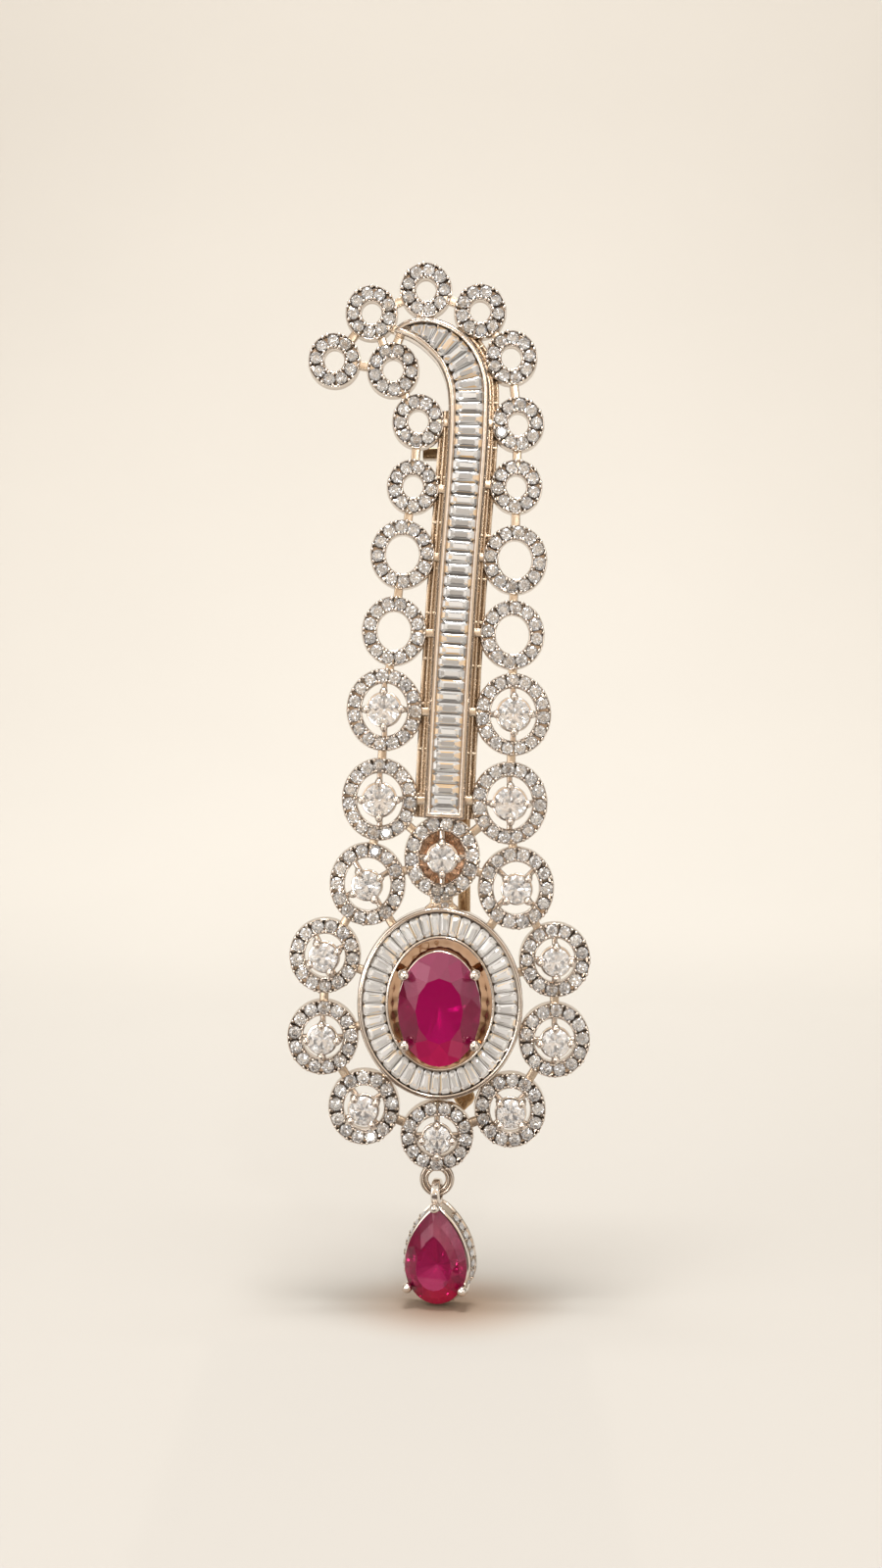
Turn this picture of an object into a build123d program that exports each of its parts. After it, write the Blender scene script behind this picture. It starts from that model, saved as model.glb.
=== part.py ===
"""Kalgi, a turban ornament: a baguette feather, solitaire rings, an oval ruby and a ruby drop.

It stands upright as it is worn. The front faces -Y. The origin is the middle of the pin's rod.
Heights in front of the jewel's flat back are called levels.
"""
import os
from collections import namedtuple
from math import atan2, cos, degrees, hypot, pi, radians, sin, sqrt

from build123d import *

# The feather: a channel of baguettes whose centre line curls over at the top
feather_foot_rise = 22.9
stem_length = 53.1
stem_lean = 3.15
crook_reach = 9.37
crook_rise = 7.35
feather_side = 0.49
feather_width = 5.0
feather_taper = 0.14
feather_height = 3.2
feather_rim = 0.72
feather_pitch = 1.45

# The rear rails of the feather's gallery
rail_stand_off = 0.75
rail_width = 0.7
rail_thickness = 0.7
post_width = 0.6
post_pitch = 5.2

# The halo of baguettes round the oval ruby
halo_wide = 20.56
halo_tall = 23.84
halo_height = 3.4
halo_rim = 0.6
halo_bed = 2.9
halo_inner_rim = 0.35
halo_pitch = 1.26
cup_floor = 0.8
cup_ledge_wide = 9.8
cup_ledge_tall = 13.2
cup_mouth_wide = 8.4
cup_mouth_tall = 11.8

# Baguettes, in the feather and in the halo
baguette_crown = 0.4
baguette_girdle = 0.12
baguette_pavilion = 0.8
baguette_recess = 0.2
stone_gap = 0.14
end_inset = 0.13
side_inset = 0.24

# Ring bands and the bars between them
ring_depth = 2.0
bar_width = 1.3
bar_thickness = 1.2
bar_level = 0.3
neck_width = 3.9
small_ring, small_band, small_rise = 6.62, 2.07, 1.05
open_ring, open_band, open_rise = 8.14, 2.0, 1.08
big_ring, big_band, big_rise = 9.58, 1.95, 1.09
halo_ring, halo_band, halo_rise = 9.0, 2.0, 1.05
foot_ring, foot_band, foot_rise = 9.2, 2.0, 0.965

# Round solitaires on open baskets
big_stone = 4.0
halo_stone = 3.5
solitaire_level = 3.95
basket_level = 0.6
basket_thickness = 0.8
basket_wall = 0.55
collar_drop = 1.15
collar_thickness = 0.4
claw_wire = 0.7
claw_tip = 0.92
claw_lean = 0.27
strut_width = 0.7

# The oval ruby
ruby_wide = 10.2
ruby_tall = 14.1
ruby_level = 5.4
ruby_side = -0.1
ruby_rise = -0.35
ruby_claw_wire = 0.95
ruby_claw_tip = 1.32
ruby_claw_lean = 0.12
ruby_claw_angle = 36.5
ruby_collar_drop = 1.6
ruby_collar_thickness = 0.6
ruby_collar_wall = 0.7

# Cuts, as shares of a stone's half width
table_share = 0.57
crown_share = 0.31
pavilion_share = 0.82
crown_break = 0.8
pavilion_break = 0.25
girdle_thickness = 0.16

# The eye and the drop that hangs in it
eye_wire = 1.1
eye_hole = 2.14
bail_hole = 1.9
bail_band = 0.75
bail_width = 1.2
drop_turn = -12.0
pear_wide = 7.9
pear_tall = 11.9
pear_shoulder = 0.61
pear_point = 1.75
pear_drop = 1.87
neck_block = 1.0
neck_thick = 0.9
neck_inset = 0.15
pear_level = 0.74
pear_crown = 1.35
pear_pavilion = 3.0
gallery_depth = 1.9
gallery_wall = 0.55
gallery_proud = 0.18
gallery_seat = 0.6
pear_claw_wire = 0.8
pear_claw_tip = 1.12
pear_claw_lean = 0.1

# The pin, its bracket and the room for the turban's fold in front of it
pin_side = 3.1
pin_length = 84.4
pin_width = 1.6
pin_head = 2.3
spade_width = 2.8
spade_length = 3.8
spade_thickness = 0.7
bracket_rise = 69.4
bracket_tall = 1.4
bracket_deep = 2.6
bracket_left = 5.3
bracket_right = 3.7
bracket_post = 1.2
bracket_post_spread = 3.6
fold_gap = 5.0

# Clearances
setting_clearance = 0.06
bed_clearance = 0.12
pin_clearance = 0.05

LEFT, RIGHT = -1, 1
Kind = namedtuple("Kind", "wide tall band stone")
SMALL = Kind(small_ring, small_ring * small_rise, small_band, 0)
OPEN = Kind(open_ring, open_ring * open_rise, open_band, 0)
BIG = Kind(big_ring, big_ring * big_rise, big_band, big_stone)
ROUND = Kind(halo_ring, halo_ring * halo_rise, halo_band, halo_stone)
HEART = Kind(big_ring, big_ring * big_rise, big_band, halo_stone)
FOOT = Kind(foot_ring, foot_ring * foot_rise, foot_band, halo_stone)

# Rings beside the feather: the share of its centre line, the side and the gap from its edge
Beside = namedtuple("Beside", "name share side gap kind turn")
BESIDE_FEATHER = [
    Beside("foot_left", 0.030, LEFT, 0.82, BIG, 0),
    Beside("foot_right", 0.034, RIGHT, 0.80, BIG, 0),
    Beside("waist_left", 0.196, LEFT, 0.78, BIG, 0),
    Beside("waist_right", 0.200, RIGHT, 0.71, BIG, 0),
    Beside("lower_left", 0.342, LEFT, 0.89, OPEN, 0),
    Beside("lower_right", 0.349, RIGHT, 0.74, OPEN, 0),
    Beside("upper_left", 0.484, LEFT, 0.49, OPEN, 0),
    Beside("upper_right", 0.490, RIGHT, 0.42, OPEN, 0),
    Beside("throat_left", 0.611, LEFT, 0.63, SMALL, 0),
    Beside("throat_right", 0.626, RIGHT, 0.60, SMALL, 0),
    Beside("neck_left", 0.737, LEFT, 0.49, SMALL, 0),
    Beside("neck_right", 0.738, RIGHT, 0.37, SMALL, 0),
    Beside("shoulder", 0.830, RIGHT, 0.17, SMALL, 0),
    Beside("crest_right", 0.891, RIGHT, 0.18, SMALL, 0),
    Beside("crest", 0.954, RIGHT, 0.23, SMALL, 0),
]

# Rings round the feather's tip and round the halo: the direction from it and the gap
Around = namedtuple("Around", "name angle gap kind turn")
AROUND_TIP = [
    Around("curl_above", 137.2, 0.44, SMALL, 0),
    Around("curl_below", -91.6, 1.07, SMALL, 0),
    Around("curl_end", -155.8, 4.83, SMALL, 0),
]
AROUND_HALO = [
    Around("heart", 89.2, 0.91, HEART, 0),
    Around("halo_1_left", 121.6, 0.77, HEART, 30),
    Around("halo_1_right", 56.2, 0.68, HEART, 45),
    Around("halo_2_left", 158.0, 0.49, ROUND, 25),
    Around("halo_2_right", 20.1, 0.29, ROUND, 0),
    Around("halo_3_left", -163.3, 0.36, ROUND, 0),
    Around("halo_3_right", -18.4, 0.10, ROUND, 0),
    Around("halo_4_left", -125.9, 0.26, ROUND, 35),
    Around("halo_4_right", -57.0, 0.05, ROUND, 45),
    Around("halo_foot", -91.3, 0.34, FOOT, 0),
]
CHAINS = [
    ["curl_end", "curl_above", "crest", "crest_right", "shoulder", "neck_right", "throat_right",
     "upper_right", "lower_right", "waist_right", "foot_right", "halo_1_right", "halo_2_right",
     "halo_3_right", "halo_4_right", "halo_foot", "halo_4_left", "halo_3_left", "halo_2_left",
     "halo_1_left", "foot_left", "waist_left", "lower_left", "upper_left", "throat_left",
     "neck_left", "curl_below", "curl_end"],
    ["curl_below", "curl_above"],
    ["foot_left", "heart", "foot_right"],
    ["halo_1_left", "heart", "halo_1_right"],
]
Ring = namedtuple("Ring", "name x z kind turn")

back_y = -(pin_width / 2 + fold_gap)
jewel = Plane(
    origin=(-pin_side, back_y, pin_length / 2 - bracket_rise), x_dir=(1, 0, 0), z_dir=(0, -1, 0)
)
knee = feather_foot_rise + stem_length
knee_side = feather_side + stem_lean
stem = Bezier(
    (feather_side, feather_foot_rise),
    (feather_side + 0.514 * stem_lean, feather_foot_rise + 0.695 * stem_length),
    (knee_side, knee - 0.207 * stem_length),
    (knee_side, knee),
)
crook = Bezier(
    (knee_side, knee),
    (knee_side, knee + 0.686 * crook_rise),
    (knee_side - 0.583 * crook_reach, knee + 1.231 * crook_rise),
    (knee_side - crook_reach, knee + crook_rise),
)
spine = Wire([stem, crook])


def place(x, z, level=0, turn=0):
    """Where something stands on the jewel: across, up, in front of the back and its turn."""
    return jewel.location * Location((x, z, level), (0, 0, turn))


def reach(wide, tall, angle):
    """Half the size of an oval in the direction of an angle in radians."""
    return 1 / hypot(cos(angle) / (wide / 2), sin(angle) / (tall / 2))


def oval_edge(wide, tall, angle):
    """A point of an oval's edge and the outward direction there, for a parameter in degrees."""
    c, s = cos(radians(angle)), sin(radians(angle))
    out_x, out_z = c * tall, s * wide
    size = hypot(out_x, out_z)
    return wide / 2 * c, tall / 2 * s, out_x / size, out_z / size


def half_width(share):
    """The feather's half width, full along the stem and tapered round the crook to its tip."""
    return feather_width / 2 * sin(pi / 2 * min(1, (1 - share) / feather_taper)) ** 0.7


def feather_point(share, offset):
    """A point beside the feather's centre line, with positive offsets on its right."""
    on_line, along = spine.position_at(share), spine.tangent_at(share)
    return on_line.X + along.Y * offset, on_line.Y - along.X * offset


def rings():
    """Every ring with its place, worked out from the feather's edge, its tip and the halo."""
    made = []
    for row in BESIDE_FEATHER:
        along = spine.tangent_at(row.share)
        out = atan2(-row.side * along.X, row.side * along.Y)
        apart = half_width(row.share) + row.gap + reach(row.kind.wide, row.kind.tall, out)
        made.append(Ring(row.name, *feather_point(row.share, row.side * apart), row.kind, row.turn))
    tip = spine.position_at(1)
    for row in AROUND_TIP:
        angle = radians(row.angle)
        apart = row.gap + reach(row.kind.wide, row.kind.tall, angle)
        x, z = tip.X + apart * cos(angle), tip.Y + apart * sin(angle)
        made.append(Ring(row.name, x, z, row.kind, row.turn))
    for row in AROUND_HALO:
        angle = radians(row.angle)
        apart = reach(halo_wide, halo_tall, angle) + row.gap
        apart += reach(row.kind.wide, row.kind.tall, angle)
        made.append(Ring(row.name, apart * cos(angle), apart * sin(angle), row.kind, row.turn))
    return made


RINGS = rings()
BY_NAME = {ring.name: ring for ring in RINGS}
SOLITAIRES = [ring for ring in RINGS if ring.kind.stone]


def bar(start, end, width):
    """A flat bar between two points, drawn in the open sketch."""
    middle = ((start[0] + end[0]) / 2, (start[1] + end[1]) / 2)
    turn = degrees(atan2(end[1] - start[1], end[0] - start[0]))
    with Locations(middle):
        Rectangle(hypot(end[0] - start[0], end[1] - start[1]), width, rotation=turn)


def band_point(ring, toward):
    """The middle of a ring's band on the side of another point."""
    angle = atan2(toward[1] - ring.z, toward[0] - ring.x)
    out = reach(ring.kind.wide, ring.kind.tall, angle) - ring.kind.band / 2
    return ring.x + out * cos(angle), ring.z + out * sin(angle)


def ring_bands():
    """The flat bands of all rings, pierced in one cut."""
    with BuildSketch(jewel) as bands:
        for ring in RINGS:
            with Locations((ring.x, ring.z)):
                Ellipse(ring.kind.wide / 2, ring.kind.tall / 2)
        for ring in RINGS:
            with Locations((ring.x, ring.z)):
                Ellipse(
                    ring.kind.wide / 2 - ring.kind.band,
                    ring.kind.tall / 2 - ring.kind.band,
                    mode=Mode.SUBTRACT,
                )
    extrude(bands.sketch, amount=ring_depth)


def link_bars():
    """Short bars from ring to ring, from the rings to the feather and to the halo, and the neck."""
    with BuildSketch(jewel.offset(bar_level)) as bars:
        for chain in CHAINS:
            for one, other in zip(chain, chain[1:]):
                one, other = BY_NAME[one], BY_NAME[other]
                start = band_point(one, (other.x, other.z))
                bar(start, band_point(other, (one.x, one.z)), bar_width)
        for row in BESIDE_FEATHER:
            ring = BY_NAME[row.name]
            edge = feather_point(row.share, row.side * (half_width(row.share) - feather_rim / 2))
            bar(band_point(ring, edge), edge, bar_width)
        tip = spine.position_at(1)
        for row in AROUND_TIP[:2]:
            bar(band_point(BY_NAME[row.name], (tip.X, tip.Y)), feather_point(0.985, 0), bar_width)
        for row in AROUND_HALO:
            angle = radians(row.angle)
            on_rim = reach(halo_wide, halo_tall, angle) - halo_rim / 2
            edge = (on_rim * cos(angle), on_rim * sin(angle))
            width = neck_width if row.name == "heart" else bar_width
            bar(band_point(BY_NAME[row.name], (0, 0)), edge, width)
    extrude(bars.sketch, amount=bar_thickness)


def feather_face(inset, stop):
    """The feather's outline moved in by an inset and cut off at a share of its length."""
    shares = [0, 0.15, 0.3, 0.45, 0.6, 0.7, 0.78, 0.84, 0.88, 0.915, 0.945, 0.965]
    shares = [share for share in shares if share < stop - 0.01] + [stop]
    right = [feather_point(share, half_width(share) - inset) for share in shares]
    left = [feather_point(share, inset - half_width(share)) for share in shares]
    with BuildLine() as outline:
        Spline(*right)
        Line(right[-1], left[-1])
        Spline(*reversed(left))
        Line(left[0], right[0])
    make_face(outline.edges())


feather_floor = (
    feather_height - baguette_recess - baguette_crown - baguette_girdle - baguette_pavilion
    - bed_clearance
)
halo_floor = feather_floor + halo_height - feather_height
FEATHER_STOP = 0.985
BED_STOP = 0.968


def feather_channel():
    """The feather's channel with its raised rims, open to the front."""
    with BuildSketch(jewel) as body:
        feather_face(0, FEATHER_STOP)
    extrude(body.sketch, amount=feather_height)
    with BuildSketch(jewel.offset(feather_height)) as bed:
        feather_face(feather_rim, BED_STOP)
    extrude(bed.sketch, amount=feather_floor - feather_height, mode=Mode.SUBTRACT)


def gallery_rails():
    """Two rails behind the feather, one on each side, with posts to the channel."""
    rail_out = rail_stand_off + rail_width
    posts = int(spine.length / post_pitch)
    with BuildSketch(jewel.offset(bar_level / 2)) as rails:
        for side in (LEFT, RIGHT):
            shares = [0, 0.15, 0.3, 0.45, 0.6, 0.7, 0.78, 0.84, 0.88, 0.915, 0.94]
            near = [feather_point(s, side * (half_width(s) + rail_stand_off)) for s in shares]
            far = [feather_point(s, side * (half_width(s) + rail_out)) for s in shares]
            with BuildLine() as outline:
                Spline(*near)
                Line(near[-1], far[-1])
                Spline(*reversed(far))
                Line(far[0], near[0])
            make_face(outline.edges())
            for k in range(posts):
                share = (k + 0.5) / posts * 0.94
                inner = half_width(share) - feather_rim / 2
                outer = half_width(share) + rail_out - rail_width / 2
                bar(feather_point(share, side * inner), feather_point(share, side * outer), post_width)
    extrude(rails.sketch, amount=rail_thickness)


def halo_body():
    """The halo's two rims and bed, with the sloping cup for the ruby cut through its middle."""
    bed_wide, bed_tall = halo_wide - 2 * halo_rim, halo_tall - 2 * halo_rim
    rim_wide, rim_tall = bed_wide - 2 * halo_bed, bed_tall - 2 * halo_bed
    with BuildSketch(jewel) as body:
        Ellipse(halo_wide / 2, halo_tall / 2)
        Ellipse(cup_mouth_wide / 2, cup_mouth_tall / 2, mode=Mode.SUBTRACT)
    extrude(body.sketch, amount=halo_height)
    with BuildSketch(jewel.offset(halo_height)) as bed:
        Ellipse(bed_wide / 2, bed_tall / 2)
        Ellipse(rim_wide / 2, rim_tall / 2, mode=Mode.SUBTRACT)
    extrude(bed.sketch, amount=halo_floor - halo_height, mode=Mode.SUBTRACT)
    with BuildSketch(jewel.offset(halo_height)) as cup_top:
        Ellipse(rim_wide / 2 - halo_inner_rim, rim_tall / 2 - halo_inner_rim)
    with BuildSketch(jewel.offset(cup_floor)) as cup_bottom:
        Ellipse(cup_ledge_wide / 2, cup_ledge_tall / 2)
    loft([cup_bottom.sketch, cup_top.sketch], mode=Mode.SUBTRACT)


def rod(start, end, radius):
    """A round rod between two points of the open frame."""
    start, end = Vector(*start), Vector(*end)
    along = Plane(origin=start, z_dir=end - start)
    base = (Align.CENTER, Align.CENTER, Align.MIN)
    return along.location * Cylinder(radius, (end - start).length, align=base, mode=Mode.PRIVATE)


def ball(centre, radius):
    """A round ball at a point of the open frame."""
    return Location(centre) * Sphere(radius, mode=Mode.PRIVATE)


def claw(edge, girdle, foot, wire, tip, lean):
    """A claw beside a girdle: its leaning wire, its shoulder and the tip folded over the crown."""
    x, z, out_x, out_z = edge
    steepest = radians(44)
    beside = setting_clearance + wire / 2 * sqrt(1 + lean * lean)
    shoulder_rise = wire * 0.6
    over = tip * 0.14
    tip_rise = (tip / 2 + setting_clearance - over * sin(steepest)) / cos(steepest)
    tip_rise += girdle_thickness / 2

    def at(out, level):
        return x + out_x * out, z + out_z * out, level

    low = at(beside - lean * (girdle - foot), foot)
    shoulder = at(beside + lean * shoulder_rise, girdle + shoulder_rise)
    folded = at(over, girdle + tip_rise)
    return [rod(low, shoulder, wire / 2), ball(shoulder, wire / 2), ball(folded, tip / 2)]


def basket_foot(stone):
    """The radius at which a round basket's claws stand on its base ring."""
    beside = setting_clearance + claw_wire / 2 * sqrt(1 + claw_lean * claw_lean)
    return stone / 2 + beside - claw_lean * (solitaire_level - basket_level)


def baskets():
    """The base rings, struts and collars of the solitaires' open baskets."""
    with BuildSketch(jewel.offset(basket_level)) as bases:
        for ring in SOLITAIRES:
            middle = basket_foot(ring.kind.stone)
            with Locations((ring.x, ring.z)):
                Circle(middle + basket_wall / 2)
            for quarter in range(4):
                angle = radians(ring.turn + 90 * quarter)
                toward = (ring.x + cos(angle), ring.z + sin(angle))
                bar((ring.x, ring.z), band_point(ring, toward), strut_width)
            with Locations((ring.x, ring.z)):
                Circle(middle - basket_wall / 2, mode=Mode.SUBTRACT)
    extrude(bases.sketch, amount=basket_thickness)
    with BuildSketch(jewel.offset(solitaire_level - collar_drop)) as collars:
        for ring in SOLITAIRES:
            at_collar = basket_foot(ring.kind.stone)
            at_collar += claw_lean * (solitaire_level - collar_drop - basket_level)
            with Locations((ring.x, ring.z)):
                Circle(at_collar + basket_wall / 4)
                Circle(at_collar - basket_wall, mode=Mode.SUBTRACT)
    extrude(collars.sketch, amount=collar_thickness)


def solitaire_claws():
    """Four claws round each solitaire."""
    made = []
    for ring in SOLITAIRES:
        for quarter in range(4):
            edge = oval_edge(ring.kind.stone, ring.kind.stone, ring.turn + 90 * quarter)
            edge = (ring.x + edge[0], ring.z + edge[1], edge[2], edge[3])
            foot = basket_level + basket_thickness / 2
            made += claw(edge, solitaire_level, foot, claw_wire, claw_tip, claw_lean)
    add([jewel.location * piece for piece in made])


def ruby_claws():
    """The collar under the oval ruby and its four claws, which stand in the cup."""
    collar_wide, collar_tall = ruby_wide + setting_clearance, ruby_tall + setting_clearance
    with BuildSketch(jewel.offset(ruby_level - ruby_collar_drop)) as collar:
        with Locations((ruby_side, ruby_rise)):
            Ellipse(collar_wide / 2, collar_tall / 2)
            Ellipse(
                collar_wide / 2 - ruby_collar_wall,
                collar_tall / 2 - ruby_collar_wall,
                mode=Mode.SUBTRACT,
            )
    extrude(collar.sketch, amount=ruby_collar_thickness)
    made = []
    for angle in (ruby_claw_angle, 180 - ruby_claw_angle, 180 + ruby_claw_angle, -ruby_claw_angle):
        x, z, out_x, out_z = oval_edge(ruby_wide, ruby_tall, angle)
        edge = (x + ruby_side, z + ruby_rise, out_x, out_z)
        foot = cup_floor / 2
        made += claw(edge, ruby_level, foot, ruby_claw_wire, ruby_claw_tip, ruby_claw_lean)
    add([jewel.location * piece for piece in made])


lowest = BY_NAME["halo_foot"]
eye_x = lowest.x
eye_z = lowest.z - lowest.kind.tall / 2 - eye_hole / 2
hinge_z = eye_z - (eye_hole + eye_wire) / 2


def drop_eye():
    """The round eye under the lowest ring, in which the drop hangs."""
    eye = Torus((eye_hole + eye_wire) / 2, eye_wire / 2, mode=Mode.PRIVATE)
    add(place(eye_x, eye_z, ring_depth / 2) * eye)


def pin_bracket():
    """The crossbar behind the feather on two posts, bored for the pin."""
    bar_z = pin_length / 2
    feather_x = feather_point(0.69, 0)[0] - pin_side
    post_back = -bracket_deep / 2 + pin_clearance
    with BuildSketch(Plane.XY.offset(bar_z - bracket_tall / 2)) as bracket:
        with Locations(((bracket_right - bracket_left) / 2, 0)):
            Rectangle(bracket_left + bracket_right, bracket_deep)
        for side in (LEFT, RIGHT):
            front = back_y - feather_floor / 2
            with Locations((feather_x + side * bracket_post_spread / 2, (front + post_back) / 2)):
                Rectangle(bracket_post, post_back - front)
        Circle(pin_width / 2 + pin_clearance, mode=Mode.SUBTRACT)
    extrude(bracket.sketch, amount=bracket_tall)


def brilliant(wide, tall, crown, pavilion, mains=8):
    """The corners of a brilliant: its table, crown breaks, girdle, pavilion breaks and culet."""
    half_step = pi / mains
    corners = [(0, 0, -girdle_thickness / 2 - pavilion)]
    for k in range(mains):
        on, off = 2 * half_step * k, 2 * half_step * (k + 0.5)
        crown_level = crown * (1 - crown_break * cos(half_step)) / (1 - table_share)
        pavilion_level = pavilion * (1 - pavilion_break * cos(half_step))
        for angle, radius, level in (
            (on, table_share, girdle_thickness / 2 + crown),
            (off, crown_break, girdle_thickness / 2 + crown_level),
            (on, 1, girdle_thickness / 2),
            (off, 1, girdle_thickness / 2),
            (on, 1, -girdle_thickness / 2),
            (off, 1, -girdle_thickness / 2),
            (off, pavilion_break, -girdle_thickness / 2 - pavilion_level),
        ):
            corners.append((wide / 2 * radius * cos(angle), tall / 2 * radius * sin(angle), level))
    return corners


def pear_edge(angle, inset=0):
    """The drop's outline for a parameter in degrees: a half oval below and a point above."""
    c, s = cos(radians(angle)), sin(radians(angle))
    upper, lower = pear_tall * pear_shoulder, pear_tall * (1 - pear_shoulder)
    middle = -pear_drop - upper
    if s < 0:
        return (pear_wide / 2 - inset) * c, middle + (lower - inset) * s
    across = abs(c) ** pear_point * (1 if c > 0 else -1)
    return (pear_wide / 2 - inset) * across, middle + (upper - 1.6 * inset) * s


def pear_face(inset, mode=Mode.ADD):
    """The drop's outline as a face of the open sketch, added or cut."""
    right = [pear_edge(angle, inset) for angle in (90, 80, 65, 50, 32, 14, 0)]
    left = [(-x, z) for x, z in reversed(right)]
    low = pear_edge(-90, inset)[1]
    with BuildLine() as outline:
        Spline(*right, tangents=[(0.75, -1), (0, -1)])
        Spline(*left, tangents=[(0, 1), (0.75, 1)])
        EllipticalCenterArc(
            (0, right[-1][1]), right[-1][0], right[-1][1] - low, start_angle=180, arc_size=180
        )
    make_face(outline.edges(), mode=mode)


def pear_stone():
    """The corners of the pear cut: table, crown breaks, girdle, pavilion breaks and culet."""
    middle = -pear_drop - pear_tall * pear_shoulder
    corners = [(0, middle, -girdle_thickness / 2 - pear_pavilion)]
    count = 20
    for k in range(count):
        on, off = 360 * k / count + 90, 360 * (k + 0.5) / count + 90
        for angle, share, level in (
            (on, table_share, girdle_thickness / 2 + pear_crown),
            (off, crown_break, girdle_thickness / 2 + pear_crown * 0.6),
            (on, 1, girdle_thickness / 2),
            (off, 1, girdle_thickness / 2),
            (on, 1, -girdle_thickness / 2),
            (off, 1, -girdle_thickness / 2),
            (off, 0.5, -girdle_thickness / 2 - pear_pavilion * 0.56),
        ):
            x, z = pear_edge(angle)
            corners.append((x * share, middle + (z - middle) * share, level))
    return corners


def inside(corners, across, along):
    """A point inside four corners, from its shares of the way across and along."""
    a, b, c, d = corners
    low = [a[i] + (b[i] - a[i]) * across for i in (0, 1)]
    high = [d[i] + (c[i] - d[i]) * across for i in (0, 1)]
    return low[0] + (high[0] - low[0]) * along, low[1] + (high[1] - low[1]) * along


def baguette(corners, floor):
    """A step cut stone whose girdle has the four given corners, above a floor."""
    keel = floor + bed_clearance
    steps = (
        (2 * end_inset, 1.6 * side_inset, keel),
        (0, 0, keel + baguette_pavilion),
        (0, 0, keel + baguette_pavilion + baguette_girdle),
        (end_inset, side_inset, keel + baguette_pavilion + baguette_girdle + baguette_crown),
    )
    points = []
    for end, side, level in steps:
        for across in (end, 1 - end):
            for along in (side, 1 - side):
                points.append((*inside(corners, across, along), level))
    return jewel.location * ConvexPolyhedron(points, mode=Mode.PRIVATE)


def feather_stones():
    """The baguettes across the feather, from its foot to the tapered tip."""
    count = round(spine.length * BED_STOP / feather_pitch)
    space = stone_gap / spine.length / 2
    made = []
    for k in range(count):
        low, high = BED_STOP * k / count + space, BED_STOP * (k + 1) / count - space
        edge_low = half_width(low) - feather_rim - bed_clearance
        edge_high = half_width(high) - feather_rim - bed_clearance
        corners = (
            feather_point(low, -edge_low),
            feather_point(low, edge_low),
            feather_point(high, edge_high),
            feather_point(high, -edge_high),
        )
        made.append(baguette(corners, feather_floor))
    return made


def halo_stones():
    """The tapered baguettes that stand like rays round the ruby."""
    outer = (halo_wide / 2 - halo_rim - bed_clearance, halo_tall / 2 - halo_rim - bed_clearance)
    thick = halo_bed - 2 * bed_clearance
    inner = (outer[0] - thick, outer[1] - thick)
    around = pi * (inner[0] + inner[1])
    count = round(pi * (outer[0] + inner[0] + thick / 2) / 2 / halo_pitch / 2) * 4
    space = stone_gap / around * 180
    made = []
    for k in range(count):
        low, high = 360 * k / count + space, 360 * (k + 1) / count - space
        corners = [
            (oval[0] * cos(radians(angle)), oval[1] * sin(radians(angle)))
            for oval, angle in ((inner, low), (outer, low), (outer, high), (inner, high))
        ]
        made.append(baguette(corners, halo_floor))
    return made


drop = Plane(
    origin=place(eye_x, hinge_z, ring_depth / 2).position,
    x_dir=(cos(radians(drop_turn)), sin(radians(drop_turn)), 0),
    z_dir=(sin(radians(drop_turn)), -cos(radians(drop_turn)), 0),
)
through_bail = Plane(origin=drop.origin, x_dir=drop.z_dir, z_dir=drop.x_dir)


def drop_claws():
    """Three claws of the drop: one at its point and one on each lower side."""
    made = []
    foot = pear_level - gallery_seat - gallery_depth * 0.6
    for angle in (90, -33, 213):
        x, z = pear_edge(angle)
        before, after = pear_edge(angle - 4), pear_edge(angle + 4)
        size = hypot(after[0] - before[0], after[1] - before[1])
        out = ((after[1] - before[1]) / size, (before[0] - after[0]) / size)
        if angle == 90:
            out = (0, 1)
        edge = (x, z, *out)
        made += claw(edge, pear_level, foot, pear_claw_wire, pear_claw_tip, pear_claw_lean)
    add([drop.location * piece for piece in made])


with BuildPart() as frame:
    halo_body()
    feather_channel()
    ring_bands()
    link_bars()
    gallery_rails()
    baskets()
    ruby_claws()
    solitaire_claws()
    drop_eye()
    pin_bracket()
frame.part.label = "frame"

with BuildPart() as turban_pin:
    rod_bottom = -pin_length / 2 + spade_length / 2
    with Locations((0, 0, rod_bottom)):
        Cylinder(
            pin_width / 2,
            pin_length / 2 + bracket_tall - rod_bottom,
            align=(Align.CENTER, Align.CENTER, Align.MIN),
        )
    with BuildSketch(Plane.XZ.offset(-spade_thickness / 2)):
        with BuildLine():
            Polyline(
                (-pin_width / 2, -pin_length / 2 + spade_length),
                (-spade_width / 2, -pin_length / 2 + spade_length * 0.4),
                (0, -pin_length / 2),
                (spade_width / 2, -pin_length / 2 + spade_length * 0.4),
                (pin_width / 2, -pin_length / 2 + spade_length),
                close=True,
            )
        make_face()
    extrude(amount=spade_thickness)
    with Locations((0, 0, pin_length / 2 + bracket_tall / 2 + pin_clearance)):
        Cylinder(pin_head / 2, bracket_tall / 2, align=(Align.CENTER, Align.CENTER, Align.MIN))
turban_pin.part.label = "turban_pin"

with BuildPart() as ruby_oval:
    ruby_corners = brilliant(
        ruby_wide, ruby_tall, crown_share * ruby_wide / 2, pavilion_share * ruby_wide / 2, mains=12
    )
    add(place(ruby_side, ruby_rise, ruby_level) * ConvexPolyhedron(ruby_corners, mode=Mode.PRIVATE))
ruby_oval.part.label = "ruby_oval"

solitaire_parts = []
for number, ring in enumerate(SOLITAIRES, start=1):
    with BuildPart() as solitaire:
        size = ring.kind.stone
        corners = brilliant(size, size, crown_share * size / 2, pavilion_share * size / 2)
        stone = ConvexPolyhedron(corners, mode=Mode.PRIVATE)
        add(place(ring.x, ring.z, solitaire_level, ring.turn) * stone)
    solitaire.part.label = f"solitaire_{number:02d}"
    solitaire_parts.append(solitaire.part)

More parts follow.
